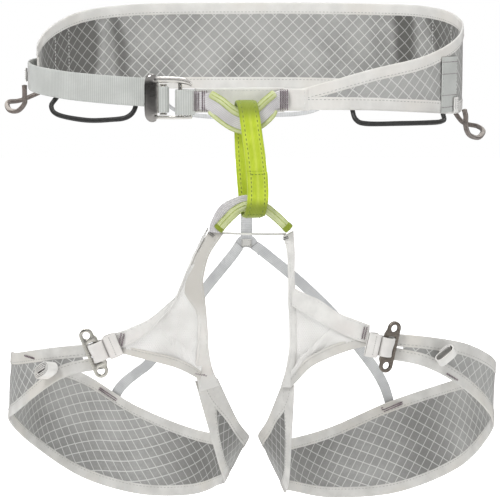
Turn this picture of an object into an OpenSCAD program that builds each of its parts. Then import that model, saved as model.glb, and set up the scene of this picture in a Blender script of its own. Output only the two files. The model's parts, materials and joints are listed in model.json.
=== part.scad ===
// Climbing harness: a light waist belt, a belay loop and two adjustable leg loops.
// Millimetres. +X is the wearer's left, -Y the front, +Z up.
// The origin is the middle of the waist opening, level with the front webbing.

/* [Waist belt] */
// outside width of the belt across the hips
belt_w = 332; // [320:1:344]
// outside depth of the belt from front to back
belt_d = 220; // [216:1:226]
// roundness of the belt seen from above
belt_power = 2.4; // [2.2:0.1:2.6]
// thickness of the ripstop fabric
panel_t = 0.5; // [0.4:0.1:0.8]
// width of the webbing sewn along the fabric edges
binding_w = 10.5; // [9:0.5:12]
// thickness of that webbing where it folds over the fabric
binding_t = 1.6; // [1.2:0.1:2]

/* [Waist strap and buckle] */
// width of the strap that runs into the waist buckle
strap_w = 21; // [19:0.5:22]
// thickness of the strap
strap_t = 1.6; // [1.2:0.1:1.8]
// length of the buckle rails
frame_w = 25; // [24:0.5:26]
// radius of the round buckle bars
bar_r = 1.5; // [1.2:0.1:1.6]
// width of the rounded end bar of the buckle
end_bar_w = 8.5; // [7:0.5:8.5]

/* [Tie-in points and belay loop] */
// thickness of the structural webbing
load_t = 2; // [1.6:0.1:2.4]
// radius of the tubes that protect the upper tie-in point
guard_r = 2.4; // [2:0.1:2.6]
// half height of the tube on the lower tie-in point
lower_guard_r = 3.6; // [3.2:0.1:3.7]
// width of the belay loop webbing
belay_w = 15; // [14:0.5:17]
// thickness of the belay loop
belay_t = 2.6; // [2:0.1:3]
// depth of the belay loop from front to back, to the middle of the webbing
belay_d = 20; // [19:0.5:22]

/* [Leg loops] */
// width of the two webbings at the leg buckle and along the leg fabric
leg_web_w = 9.5; // [8:0.5:10]
// thickness of the mesh at the front of each leg loop
mesh_t = 0.6; // [0.4:0.1:0.8]
// width of the strap that runs from the tie-in point to the leg buckle
brace_w = 13; // [11:0.5:14]
// width of the elastic straps behind the legs
riser_w = 10; // [9:0.5:11]

/* [Leg buckles] */
// distance between the two eyes of a leg buckle
eye_pitch = 29; // [28:0.5:31]
// radius of each eye
eye_r = 2.8; // [2.4:0.1:3]
// thickness of the buckle plate
plate_t = 2.4; // [2:0.1:3]

/* [Equipment loops] */
// radius of the moulded front loops
gear_r = 1.9; // [1.5:0.1:2.2]
// radius of the covered side loops
side_r = 2.1; // [1.8:0.1:2.4]

/* [Hidden] */
$fn = 32;
pivot_upper = [-3, -123, -6];
pivot_lower = [1, -123, -75];
buckle_z = 1.8;
anchor_x = -51;
slider_x = -63.3;
buckle_y = -112;
left_buckle_at = [-117.5, -98.4, -189.5];
right_buckle_at = [105, -102, -184];
left_buckle_lean = -22;
right_buckle_lean = 12;
right_buckle_turn = 25;

fabric = [0.62, 0.63, 0.62];
webbing = [0.87, 0.87, 0.85];
white_web = [0.92, 0.92, 0.9];
elastic = [0.85, 0.86, 0.87];
green = [0.67, 0.83, 0.06];
pale_green = [0.78, 0.83, 0.55];
metal = [0.72, 0.71, 0.69];
dark_metal = [0.32, 0.3, 0.28];
black = [0.08, 0.08, 0.08];
brown = [0.42, 0.38, 0.36];
thread = [0.45, 0.4, 0.42];

// ---- curves and sewn surfaces ----

function mix(a, b, t) = a + (b - a) * t;
function unit(v) = v / norm(v);
function smooth(a, b, c, d, t) =
    0.5 * (2 * b + (c - a) * t + (2 * a - 5 * b + 4 * c - d) * t * t + (3 * b - a - 3 * c + d) * t * t * t);

// A smooth curve through the points p, with u running from 0 to 1.
function along(p, u) =
    let (n = len(p) - 1, s = min(max(u, 0), 1) * n, i = min(floor(s), n - 1))
    let (before = i > 0 ? p[i - 1] : 2 * p[0] - p[1], after = i + 2 <= n ? p[i + 2] : 2 * p[n] - p[n - 1])
    smooth(before, p[i], p[i + 1], after, s - i);

// The same through a closed ring of points.
function around(p, u) =
    let (n = len(p), s = u * n, i = floor(s))
    smooth(p[(i + n - 1) % n], p[i % n], p[(i + 1) % n], p[(i + 2) % n], s - i);

// Rows of points from curve a to curve b. inset_a and inset_b are distances from the two curves.
function between(a, b, n, cols = 1, inset_a = 0, inset_b = 0, from = 0, to = 1) = [
    for (i = [0:n])
    let (u = mix(from, to, i / n), p = along(a, u), q = along(b, u), d = norm(q - p))
    [for (j = [0:cols]) mix(p, q, mix(inset_a / d, 1 - inset_b / d, j / cols))]
];

// A strip of a given width along curve a, lying on the surface from a to b.
function edge_strip(a, b, n, width, out = 0, from = 0, to = 1) = [
    for (i = [0:n])
    let (u = mix(from, to, i / n), p = along(a, u), q = along(b, u), d = norm(q - p))
    [mix(p, q, -out / d), mix(p, q, (width - out) / d)]
];

// A ribbon with its middle on curve p and its width along the direction side.
function ribbon(p, side, width, n) = [
    for (i = [0:n])
    let (c = along(p, i / n), w = unit(is_list(side[0]) ? along(side, i / n) : side) * width / 2)
    [c + w, c - w]
];

function step_of(rows, i, j, closed) =
    let (n = len(rows))
    closed ? rows[(i + 1) % n][j] - rows[(i + n - 1) % n][j]
           : rows[min(i + 1, n - 1)][j] - rows[max(i - 1, 0)][j];

function face_of(rows, i, j, closed) =
    let (m = len(rows[0]))
    unit(cross(rows[i][min(j + 1, m - 1)] - rows[i][max(j - 1, 0)], step_of(rows, i, j, closed)));

// A thin solid over the rows of points, thick across them and moved by lift along its face.
module sheet(rows, thick, lift = 0, closed = false) {
    n = len(rows);
    m = len(rows[0]);
    count = n * m;
    last = closed ? n - 1 : n - 2;
    upper = [for (i = [0:n - 1]) for (j = [0:m - 1])
        rows[i][j] + face_of(rows, i, j, closed) * (lift + thick / 2)];
    lower = [for (i = [0:n - 1]) for (j = [0:m - 1])
        rows[i][j] + face_of(rows, i, j, closed) * (lift - thick / 2)];
    skin = [for (i = [0:last]) for (j = [0:m - 2])
        let (a = i * m + j, b = a + 1, d = ((i + 1) % n) * m + j, c = d + 1)
        each [[a, d, c], [a, c, b], [a + count, b + count, c + count],
              [a + count, c + count, d + count]]];
    sides = [for (i = [0:last])
        let (a = i * m, d = ((i + 1) % n) * m, b = a + m - 1, c = d + m - 1)
        each [[a + count, d + count, d], [a + count, d, a], [b + count, b, c],
              [b + count, c, c + count]]];
    ends = closed ? [] : [for (j = [0:m - 2])
        let (a = j, b = j + 1, d = (n - 1) * m + j, c = d + 1)
        each [[a + count, a, b], [a + count, b, b + count], [d + count, c + count, c],
              [d + count, c, d]]];
    polyhedron(points = concat(upper, lower), faces = concat(skin, sides, ends), convexity = 6);
}

// An oval tube along curve p. flat is the direction of its second radius.
module cord(p, r, flat, n, r2 = 0, sides = 10) {
    depth = r2 > 0 ? r2 : r;
    points = [for (i = [0:n])
        let (u = i / n, c = along(p, u), t = unit(along(p, min(u + 0.01, 1)) - along(p, max(u - 0.01, 0))))
        let (w = unit(flat - t * (flat * t)), v = cross(t, w))
        for (k = [0:sides - 1]) c + v * r * cos(k * 360 / sides) + w * depth * sin(k * 360 / sides)];
    skin = [for (i = [0:n - 1]) for (k = [0:sides - 1])
        let (a = i * sides + k, b = i * sides + (k + 1) % sides)
        each [[a, b + sides, b], [a, a + sides, b + sides]]];
    start = [[for (k = [0:sides - 1]) k]];
    finish = [[for (k = [0:sides - 1]) n * sides + sides - 1 - k]];
    polyhedron(points = points, faces = concat(skin, start, finish), convexity = 6);
}

// A flat block of stitching: middle, width along x, height, turned by angle in the XZ plane.
module tack(at, w, h, angle = 0, depth = 3, turn = 0) {
    translate(at)
        rotate([0, 0, turn])
            rotate([0, angle, 0])
                cube([w, depth, h], center = true);
}

// ---- waist belt ----

function power_of(v, e) = sign(v) * pow(abs(v), e);
function belt_at(angle, z, grow = 0) = [
    (belt_w / 2 + grow) * power_of(cos(angle), 2 / belt_power),
    (belt_d / 2 + grow) * power_of(sin(angle), 2 / belt_power),
    z
];

// Heights of the belt edges at angles counted from the right hip through the back.
top_heights = [[-81, 9], [-62, 23], [-42, 32], [-20, 45], [0, 57], [30, 67], [60, 69.5], [90, 70],
               [120, 69], [142, 64], [160, 54], [184, 38]];
bottom_heights = [[-81, -6], [-62, -7], [-42, -10], [-20, -13], [0, -11], [30, -6], [60, -3],
                  [90, -2], [120, -2], [142, -2], [160, 0], [184, 6]];
belt_steps = 44;
function belt_edge(heights, grow = 0) = [
    for (i = [0:belt_steps])
    let (h = along(heights, i / belt_steps))
    belt_at(h[0], h[1], grow)
];
belt_top = belt_edge(top_heights);
belt_bottom = belt_edge(bottom_heights);

module belt_panel() {
    color(fabric)
        sheet(between(belt_top, belt_bottom, belt_steps, 2, 1, 1), panel_t);
}

module belt_top_binding() {
    color(webbing)
        sheet(edge_strip(belt_top, belt_bottom, belt_steps, binding_w * 0.75 + 1.5), binding_t);
}

module belt_bottom_binding() {
    color(webbing)
        sheet(edge_strip(belt_bottom, belt_top, belt_steps, binding_w - 1.2), binding_t);
}

module belt_end_binding() {
    color(webbing)
        sheet([for (z = [8:5.25:29]) [belt_at(185.2, z), belt_at(181.4, z)]], binding_t);
}

module belt_side_tape() {
    color(webbing)
        sheet([for (a = [-33:3:-21]) [belt_at(a, 31, 1), belt_at(a, -11, 1)]], 0.8, 0.3);
}

module belt_front_tab() {
    color(white_web)
        sheet([for (i = [0:6]) let (a = mix(-84.5, -79, i / 6)) [belt_at(a, 9.5), belt_at(a, -6.5)]], 3);
}

// ---- waist strap and buckle ----

strap_path = [[-156, 46, 18], [-167, 24, 17], [-173, 0, 16], [-170, -30, 14.5], [-158, -56, 12.5],
              [-134, -80, 10], [-103, -97, 8], [-75, -105.5, 6.6], [-69, -107, 6.2]];

module waist_strap() {
    color(webbing)
        sheet(ribbon(strap_path, [0, 0, 1], strap_w, 26), strap_t);
}

// The strap turns round the slider bar.
module waist_strap_turn() {
    inner = bar_r + 0.3;
    color(webbing)
        translate([slider_x, buckle_y, buckle_z])
            difference() {
                cylinder(r = inner + strap_t, h = strap_w - 2, center = true);
                cylinder(r = inner, h = strap_w, center = true);
            }
}

module buckle_anchor_webbing() {
    inner = bar_r + 0.3;
    outer = inner + 1.2;
    length = 10;
    height = 18.5;
    color(white_web)
        translate([anchor_x, buckle_y, buckle_z - 2])
            difference() {
                union() {
                    cylinder(r = outer, h = height, center = true);
                    translate([0, -outer, -height / 2])
                        cube([length, 2 * outer, height]);
                }
                cylinder(r = inner, h = height + 2, center = true);
                translate([0, -inner, -height / 2 - 1])
                    cube([length + 1, 2 * inner, height + 2]);
            }
}

// A flat bar with round ends in the XZ plane, from one end's centre along a direction.
module rail(x, z, r, length, angle, depth) {
    translate([x, 0, z])
        rotate([90, -angle, 0])
            union() {
                cylinder(r = r, h = depth, center = true);
                translate([length, 0, 0])
                    cylinder(r = r, h = depth, center = true);
                translate([0, -r, -depth / 2])
                    cube([length, 2 * r, depth]);
            }
}

module waist_buckle_frame() {
    left = -76;
    top = 18.5;
    base = -12.6;
    r = end_bar_w / 2;
    right = left + r + frame_w;
    color(metal)
        translate([0, buckle_y, 0]) {
            translate([0, -1.2, 0])
                rail(left + r, base + r, r, top - base - 2 * r, 90, 2.6);
            translate([0, -0.2, 0]) {
                rail(left + r, top - 2.3, 2.3, frame_w + 1, -1, 3.4);
                rail(right, top - 3.4, 1.6, 4, -32, 3.4);
                rail(left + r, base + 1.3, 1.3, frame_w + 3, 0, 3.4);
            }
            translate([anchor_x, 0, base + 1])
                cylinder(r = bar_r, h = top - base - 3);
        }
}

module waist_buckle_slider() {
    color(metal)
        translate([slider_x, buckle_y, buckle_z]) {
            cylinder(r = bar_r, h = strap_w, center = true);
            for (s = [-1, 1])
                translate([-3, -bar_r, s * (strap_w / 2 + 0.1) - 0.6])
                    cube([6, 2 * bar_r, 1.2]);
        }
}

// ---- upper tie-in point ----

module tie_in_bridge() {
    color(white_web)
        sheet(ribbon([[-40.5, -109.4, 1], [-20, -109.4, 1.2], [5, -109.4, 1.4], [25, -109.4, 1.4]],
                     [0, 0, 1], 18, 8), 1.2);
}

upper_tie_path = [[-40, -113, 1], [-31, -114.5, 0.5], [-24, -118, -3.5], [-14, -121, -11],
                  [-4, -122.5, -14.5], [6, -121, -11], [14, -118, -4], [20, -114.5, 1.5],
                  [28, -113, 2]];
upper_tie_sides = [[0, 0, 1], [0, 0, 1], [0.35, 0, 1], [0.25, 0, 1], [0, 0, 1], [-0.3, 0, 1],
                   [-0.4, 0, 1], [0, 0, 1], [0, 0, 1]];

function guard_path(edge, from, to) = [
    for (i = [0:6])
    let (u = mix(from, to, i / 6), c = along(upper_tie_path, u), w = unit(along(upper_tie_sides, u)))
    c + w * edge
];

module upper_tie_in_webbing() {
    color(white_web)
        sheet(ribbon(upper_tie_path, upper_tie_sides, 13, 24), load_t);
}

module upper_tie_in_top_guard() {
    color(pale_green)
        cord(guard_path(6.6, 0.15, 0.85), guard_r * 1.15, [0, 1, 0], 18, guard_r);
}

module upper_tie_in_bottom_guard() {
    color(pale_green)
        cord(guard_path(-6.8, 0.15, 0.85), guard_r, [0, 1, 0], 18);
}

module waist_bar_tacks() {
    color(thread) {
        for (x = [-37.5, -32])
            tack([x, -111.4, 0.8], 3.2, 15, 0, 5.2);
        tack([24.5, -111.4, 1.6], 5, 14.5, 0, 5.2);
    }
}

// ---- belay loop ----

belay_half = belay_d / 2;
belay_path = [
    [-3, -123, 0.9],
    [-1, -123 - belay_half * 0.75, -4.6],
    [1.5, -123 - belay_half, -22],
    [4.5, -123 - belay_half, -45],
    [5.5, -123 - belay_half * 0.95, -68],
    [3, -123 - belay_half * 0.55, -80.6],
    [1, -123 + belay_half * 0.35, -81.5],
    [-1, -123 + belay_half * 0.9, -70],
    [-3, -123 + belay_half, -45],
    [-4, -123 + belay_half * 0.95, -22],
    [-4, -123 + belay_half * 0.75, -4.6]
];
belay_rows = [
    for (i = [0:35])
    let (c = around(belay_path, i / 36), w = unit([1, 0.12, 0]) * belay_w / 2)
    [c - w, c + w]
];

module belay_loop() {
    color(green)
        sheet(belay_rows, belay_t, 0, true);
}

module belay_loop_overlap() {
    color(green)
        sheet([for (i = [10:16]) belay_rows[i]], 0.9, belay_t / 2 + 0.35);
}

// ---- lower tie-in point ----

lower_tie_outer = [[-30, -119, -95], [-29, -119.5, -88], [-22.5, -121, -76], [-13, -122.5, -69.8],
                   [-3, -123, -67.2], [6, -123, -69.6], [16, -122, -76.6], [25, -120, -85.2],
                   [30, -119, -93]];
lower_tie_inner = [[-21.5, -119, -95.6], [-20.6, -119.5, -91], [-15.4, -121, -82.4],
                   [-9, -122.5, -77.2], [-2, -123, -75.2], [5.5, -123, -76], [12.6, -122, -80.6],
                   [20.6, -120, -88.6], [26.4, -119, -95.4]];
lower_guard_path = [[-22.6, -120.5, -91.8], [-16, -121.5, -84.4], [-8, -122.8, -77.2],
                    [1, -123, -74.6], [9, -122.8, -75.6], [18.5, -121.5, -82.6],
                    [27.6, -120.5, -91.4]];

module lower_tie_in_webbing() {
    color(white_web)
        sheet(between(lower_tie_outer, lower_tie_inner, 22), 1.6);
}

module lower_tie_in_guard() {
    color(pale_green)
        cord(lower_guard_path, lower_guard_r, [0, 1, 0], 18, 2.4);
}

module lower_guard_left_end() {
    color(green)
        cord([mix(lower_guard_path[0], lower_guard_path[1], -0.18), lower_guard_path[0],
              mix(lower_guard_path[0], lower_guard_path[1], 0.25)],
             lower_guard_r + 0.5, [0, 1, 0], 4, 2.9);
}

module lower_guard_right_end() {
    color(green)
        cord([mix(lower_guard_path[6], lower_guard_path[5], -0.18), lower_guard_path[6],
              mix(lower_guard_path[6], lower_guard_path[5], 0.25)],
             lower_guard_r + 0.5, [0, 1, 0], 4, 2.9);
}

module tie_in_cross_strap() {
    color(elastic)
        sheet(ribbon([[-23.5, -114.6, -96.3], [-8, -114.4, -96.8], [10, -114.4, -97.2],
                      [26.5, -114.6, -97]],
                     [0, 0, 1], 2.8, 8), 0.8);
}

// ---- equipment loops ----

module front_gear_loop_left() {
    color(black)
        cord([[-144, -61, 8], [-146, -62.4, 1], [-150, -66.5, -6], [-144, -74, -12], [-122, -88, -15],
              [-103, -97, -11.5], [-90, -100, -9], [-84.5, -99, -4], [-84, -98, 4]],
             gear_r, [0.6, 0.8, 0], 26);
}

module front_gear_loop_right() {
    color(black)
        cord([[75, -98.8, 2], [75.5, -99, -6], [78, -103, -13.5], [86, -103.5, -16.5],
              [112, -94, -17], [138, -77, -17.5], [145, -69, -17], [147.3, -61, -16],
              [146.8, -56, -12], [146.3, -54, -4]],
             gear_r, [-0.6, 0.8, 0], 26);
}

module side_gear_loop_left() {
    color(brown)
        cord([[-177.5, -4, 7], [-177.5, -4, -2], [-178, -2, -8], [-184, 3, -14], [-192, 14, -14],
              [-195, 30, -9], [-188, 52, -6], [-162, 73, -5], [-146, 76, 4]],
             side_r, [-0.55, 0.2, 0.8], 30);
}

module side_gear_loop_right() {
    color(brown)
        cord([[164.5, -43, -10], [166, -41, -16], [166.5, -36, -23], [171, -23, -31],
              [180, -6, -34.5], [186, 12, -30], [183, 34, -25], [172, 50, -19], [161.5, 52, -8]],
             side_r, [0.55, 0.2, 0.8], 30);
}

// Tabs sewn at the front end of each side loop.
module side_loop_tab_left() {
    color(white_web)
        sheet([[[-176, 1, 20], [-176, 1, 9.5]], [[-176, -6, 20], [-176, -6, 9.5]]], 1.4);
}

module side_loop_tab_right() {
    color(white_web)
        sheet([[belt_at(-27, 2, 3.2), belt_at(-27, -7.5, 3.2)],
               [belt_at(-23, 2, 3.2), belt_at(-23, -7.5, 3.2)]], 1.4);
}

module haul_loop() {
    color(elastic)
        sheet(ribbon([[-76, 115.5, 2], [-74, 117, -8], [-66, 118, -17], [-48, 118.5, -22.5],
                      [-20, 119.5, -25], [10, 119.5, -25.5], [42, 118.5, -24], [60, 118, -19],
                      [69, 117, -9], [72, 115.5, 2]],
                     [0, 1, 0.25], 5, 26), 1.2);
}

// ---- straps behind the legs ----

module riser_strap() {
    color(elastic)
        sheet(ribbon([[-3, 112.3, 8], [-3, 112.3, -6], [-3, 110.8, -30], [-3, 105, -80],
                      [-3, 99.5, -132]],
                     [1, 0, 0], riser_w, 14), 1);
}

module riser_joint() {
    color(elastic)
        sheet(ribbon([[-13.5, 95, -138], [-9, 95, -132.5], [-3, 95, -130.5], [3, 95, -132.5],
                      [7.5, 95, -138]],
                     [0, 0, 1], 11, 8), 1.2);
}

left_branch = [[-9, 93, -134], [-16, 93.5, -144], [-39, 95, -173], [-62, 95, -205], [-85, 92, -234],
               [-96, 90, -243], [-106, 87, -250.5], [-113, 85, -258.5], [-115, 84.4, -263.5]];
right_branch = [[4, 93, -134], [13, 93.5, -141], [45, 95, -168], [74, 95, -197], [93, 92, -222],
                [106, 88, -239], [114, 86, -253], [118.5, 85, -266], [119.5, 84.8, -273]];

module riser_branch_left() {
    color(elastic)
        sheet(ribbon(left_branch, [0.77, 0, -0.64], riser_w * 0.9, 18), 0.9);
}

module riser_branch_right() {
    color(elastic)
        sheet(ribbon(right_branch, [0.77, 0, 0.64], riser_w * 0.9, 18), 0.9);
}

// ---- leg loops: each fabric band runs from the buckle round the outside and the back to the crotch ----

left_leg_top = [[-112, -94, -182.5], [-149, -83, -188], [-180, -52, -198], [-189.5, -5, -207],
                [-177, 47, -222], [-141, 75, -241], [-98, 82, -270], [-50, 73, -288], [-12, 38, -287],
                [-1, -6, -276], [-10, -46, -253], [-25, -68, -215]];
left_leg_bottom = [[-109, -94.5, -201.8], [-143, -86, -211.5], [-181, -54, -244], [-193, -8, -264],
                   [-178, 47, -299], [-142, 75, -332], [-95, 82, -348], [-50, 73, -346],
                   [-26, 38, -328], [-21, -6, -313], [-25, -44, -288], [-42, -79, -215]];
right_leg_top = [[101, -95.5, -174.4], [137, -89, -179], [168, -72, -188], [193, -34, -208],
                 [190, 20, -228], [165, 62, -246], [118, 81, -267], [66, 77, -289], [22, 40, -291],
                 [7, -14, -274], [14, -48, -252], [25, -64, -220]];
right_leg_bottom = [[99, -96, -193.6], [132, -90.5, -201.5], [162, -78, -220], [188, -46, -249],
                    [195, 8, -278], [175, 55, -318], [126, 80, -346], [70, 78, -350], [33, 42, -334],
                    [29, -14, -320], [31, -52, -296], [34, -80, -218]];
leg_steps = 40;

module leg_panel(top, bottom) {
    color(fabric)
        sheet(between(top, bottom, leg_steps, 2, 1, 1, 0.04, 0.975), panel_t);
}

module leg_binding(edge, other, lift) {
    color(webbing)
        sheet(edge_strip(edge, other, leg_steps, leg_web_w), binding_t, lift);
}

module leg_panel_left() {
    leg_panel(left_leg_top, left_leg_bottom);
}

module leg_top_binding_left() {
    leg_binding(left_leg_top, left_leg_bottom, 0);
}

module leg_bottom_binding_left() {
    leg_binding(left_leg_bottom, left_leg_top, 0);
}

module leg_panel_right() {
    leg_panel(right_leg_top, right_leg_bottom);
}

module leg_top_binding_right() {
    leg_binding(right_leg_top, right_leg_bottom, 0);
}

module leg_bottom_binding_right() {
    leg_binding(right_leg_bottom, right_leg_top, 0);
}

// The front of a leg loop: a strap down from the tie-in point, a brace to the buckle and mesh between.
left_strap_inner = [[-20, -116.8, -97], [-30, -113, -113], [-34.5, -109, -131], [-34.4, -107, -138],
                    [-33.4, -104.6, -148], [-32.4, -102, -159], [-31.6, -98, -172], [-31, -92, -188],
                    [-28.5, -81, -205], [-25, -69, -217]];
left_strap_outer = [[-29, -116.8, -92], [-40, -113, -112], [-48.6, -108.4, -131],
                    [-51.2, -106.8, -138], [-45.4, -104.6, -148.5], [-39.8, -102.4, -157.5],
                    [-39, -99, -171], [-39.8, -93, -187], [-41.5, -86, -203], [-42, -80, -216]];
left_brace_top = [[-30, -116, -92], [-40, -112.5, -113], [-51, -107, -139], [-64, -103, -153],
                  [-76, -100, -163], [-92, -97, -171], [-103.5, -96.5, -175]];
left_brace_low = [[-34, -115, -101], [-46, -112, -124], [-58, -106.5, -151], [-69, -103, -165],
                  [-79, -100, -175.5], [-93, -97, -184], [-101.5, -96.5, -187]];
left_mesh_low = [[-101, -95.2, -189], [-82, -96, -194], [-58, -93, -201], [-43, -87, -209]];
left_mesh_up = [[-100, -95.2, -182.5], [-83, -96, -187], [-59, -94, -193], [-43, -89, -201]];
right_strap_inner = [[24, -116.8, -98], [27, -115, -110], [28, -110, -130], [28, -105, -149],
                     [29, -98, -168], [29, -91, -188], [27, -81, -206], [24, -67, -222]];
right_strap_outer = [[32, -116.8, -94], [33, -114.5, -110], [33, -109, -130], [34, -103, -149],
                     [35, -96, -168], [35, -89, -188], [34, -83, -206], [32, -79, -220]];
right_brace_top = [[31, -108, -137], [42, -106.5, -143], [52, -104, -148], [66, -101, -158],
                   [80, -99, -164], [90, -98, -168]];
right_brace_low = [[31, -105, -152], [42, -104.5, -159], [52, -102.5, -165], [66, -100.5, -173],
                   [79, -99, -179], [89, -98, -182]];
right_mesh_low = [[90, -96.6, -184], [76, -98, -187], [60, -97.5, -193], [46, -94, -201],
                  [35, -87, -214]];
right_mesh_up = [[88, -96.6, -176.5], [74, -98, -179], [58, -98, -185], [43, -95, -194],
                 [35, -88, -205]];

module leg_front_strap_left() {
    color(white_web)
        sheet(between(left_strap_outer, left_strap_inner, 22), 1.5);
}

module leg_front_strap_right() {
    color(white_web)
        sheet(between(right_strap_outer, right_strap_inner, 22), 1.5);
}

module leg_brace_left() {
    color(white_web)
        sheet(between(left_brace_top, left_brace_low, 18), 1.4);
}

module leg_brace_right() {
    color(white_web)
        sheet(between(right_brace_top, right_brace_low, 16), 1.4);
}

// Mesh from the middle of the brace to the middle of the front strap and the lower binding.
function mesh_corner(strap, low, u, bend, strap_start) =
    u < bend ? along(strap, mix(strap_start, 0.83, u / bend))
             : along([for (i = [len(low) - 1:-1:0]) low[i]], (u - bend) / (1 - bend));
function mid(a, b) = [for (i = [0:len(a) - 1]) (a[i] + b[i]) / 2];

module leg_mesh(brace, strap, low, brace_start, strap_start) {
    n = 20;
    rows = [for (i = [0:n])
        let (u = i / n)
        let (p = along(brace, mix(brace_start, 0.97, u)))
        let (q = mesh_corner(strap, low, mix(0.02, 0.98, u), 0.55, strap_start))
        [for (j = [0:3]) mix(p, q, j / 3)]];
    color(white_web)
        sheet(rows, mesh_t);
}

module leg_mesh_left() {
    leg_mesh(mid(left_brace_top, left_brace_low), mid(left_strap_outer, left_strap_inner),
             mid(left_mesh_low, left_mesh_up), 0.18, 0.12);
}

module leg_mesh_right() {
    leg_mesh(mid(right_brace_top, right_brace_low), mid(right_strap_outer, right_strap_inner),
             mid(right_mesh_low, right_mesh_up), 0.1, 0.45);
}

module leg_mesh_binding_left() {
    color(webbing)
        sheet(between(left_mesh_up, left_mesh_low, 12), 1.2);
}

module leg_mesh_binding_right() {
    color(webbing)
        sheet(between(right_mesh_up, right_mesh_low, 12), 1.2);
}

// ---- leg buckles ----

rail_x = 5.2;
module buckle_plate() {
    r = 5.4;
    slot_h = eye_pitch - 2 * r - 1.6;
    rotate([90, 0, 0])
        difference() {
            union() {
                for (s = [-1, 1])
                    translate([0, s * eye_pitch / 2, 0])
                        cylinder(r = r, h = plate_t, center = true);
                cube([2 * r, eye_pitch, plate_t], center = true);
                for (s = [-1, 1])
                    translate([rail_x, s * (eye_pitch / 2 - 4), 0])
                        cylinder(r = 1.6, h = plate_t, center = true);
                translate([rail_x, 0, 0])
                    cube([3.2, eye_pitch - 8, plate_t], center = true);
            }
            for (s = [-1, 1])
                translate([0, s * eye_pitch / 2, 0])
                    cylinder(r = eye_r, h = plate_t + 2, center = true);
            translate([-2.6, -slot_h / 2, -plate_t])
                cube([rail_x - 1.6 + 2.6, slot_h, 2 * plate_t]);
        }
}

// Webbing folded round the outer rail of a leg buckle.
module buckle_fold(height) {
    outer_x = 3;
    outer_y = plate_t / 2 + 1.5;
    reach = 11.5;
    translate([rail_x, 0, 0])
        difference() {
            translate([-outer_x, -outer_y, -height / 2])
                cube([outer_x + reach, 2 * outer_y, height]);
            translate([-outer_x + 1.1, -plate_t / 2 - 0.4, -height / 2 - 1])
                cube([reach + outer_x, plate_t + 0.8, height + 2]);
        }
}

module leg_buckle_left() {
    color(metal)
        translate(left_buckle_at)
            rotate([0, left_buckle_lean, 0])
                buckle_plate();
}

module leg_buckle_right() {
    color(dark_metal)
        translate(right_buckle_at)
            rotate([0, right_buckle_lean, 0])
                rotate([0, 0, right_buckle_turn])
                    mirror([1, 0, 0])
                        buckle_plate();
}

module leg_buckle_webbing_left() {
    color(white_web)
        translate(left_buckle_at)
            rotate([0, left_buckle_lean, 0])
                buckle_fold(15.5);
}

module leg_buckle_webbing_right() {
    color(white_web)
        translate(right_buckle_at)
            rotate([0, right_buckle_lean, 0])
                rotate([0, 0, right_buckle_turn])
                    mirror([1, 0, 0])
                        buckle_fold(15.5);
}

// ---- rolled strap tails in their elastic keepers ----

// long_way runs along the leg webbing, hole_way out through the middle of the roll.
module keeper(at, long_way, hole_way) {
    a = unit(long_way);
    b = unit(hole_way - a * (hole_way * a));
    c = cross(b, a);
    half = 5.4;
    gap = 1.5;
    wall = 1.5;
    height = 10;
    multmatrix([[a[0], c[0], b[0], at[0]], [a[1], c[1], b[1], at[1]], [a[2], c[2], b[2], at[2]],
                [0, 0, 0, 1]])
        difference() {
            union() {
                for (s = [-1, 1])
                    translate([s * half, 0, 0])
                        cylinder(r = gap + wall, h = height, center = true);
                cube([2 * half, 2 * (gap + wall), height], center = true);
            }
            for (s = [-1, 1])
                translate([s * half, 0, 0])
                    cylinder(r = gap, h = height + 2, center = true);
            cube([2 * half, 2 * gap, height + 2], center = true);
        }
}

module leg_strap_keeper_left() {
    color(white_web)
        keeper([-157.5, -89, -207], [0.654, -0.537, 0.537], [-0.35, -0.75, 0.75]);
}

module leg_strap_keeper_right() {
    color(white_web)
        keeper([151, -93, -200], [0.817, 0.34, -0.463], [0.35, -0.75, 0.75]);
}

module leg_bar_tacks_left() {
    color(thread) {
        tack([-97, -97, -179.5], 2.4, 9, 12, 3);
        tack([-36.5, -85, -208], 9, 1.8, 15, 3, 20);
        tack([-172, -63, -198.5], 9, 1.8, 0, 2.6, -42);
        tack([-119, 80.5, -264.5], 15, 2.2, 32, 3, -12);
    }
}

module leg_bar_tacks_right() {
    color(thread) {
        tack([85.5, -98.4, -173.6], 2.4, 9, 12, 3);
        tack([165, -75.5, -216.5], 9, 1.8, 30, 2.6, 35);
        tack([121, 80.5, -273], 15, 2.2, -20, 3, 12);
    }
}

belt_panel();
belt_top_binding();
belt_bottom_binding();
belt_end_binding();
belt_side_tape();
belt_front_tab();
waist_strap();
waist_strap_turn();
buckle_anchor_webbing();
waist_buckle_frame();
waist_buckle_slider();
tie_in_bridge();
upper_tie_in_webbing();
upper_tie_in_top_guard();
upper_tie_in_bottom_guard();
waist_bar_tacks();
belay_loop();
belay_loop_overlap();
lower_tie_in_webbing();
lower_tie_in_guard();
lower_guard_left_end();
lower_guard_right_end();
tie_in_cross_strap();
front_gear_loop_left();
front_gear_loop_right();
side_gear_loop_left();
side_gear_loop_right();
side_loop_tab_left();
side_loop_tab_right();
haul_loop();
riser_strap();
riser_joint();
riser_branch_left();
riser_branch_right();
leg_panel_left();
leg_top_binding_left();
leg_bottom_binding_left();
leg_front_strap_left();
leg_mesh_left();
leg_brace_left();
leg_mesh_binding_left();
leg_buckle_left();
leg_buckle_webbing_left();
leg_strap_keeper_left();
leg_bar_tacks_left();
leg_panel_right();
leg_top_binding_right();
leg_bottom_binding_right();
leg_front_strap_right();
leg_mesh_right();
leg_brace_right();
leg_mesh_binding_right();
leg_buckle_right();
leg_buckle_webbing_right();
leg_strap_keeper_right();
leg_bar_tacks_right();
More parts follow.
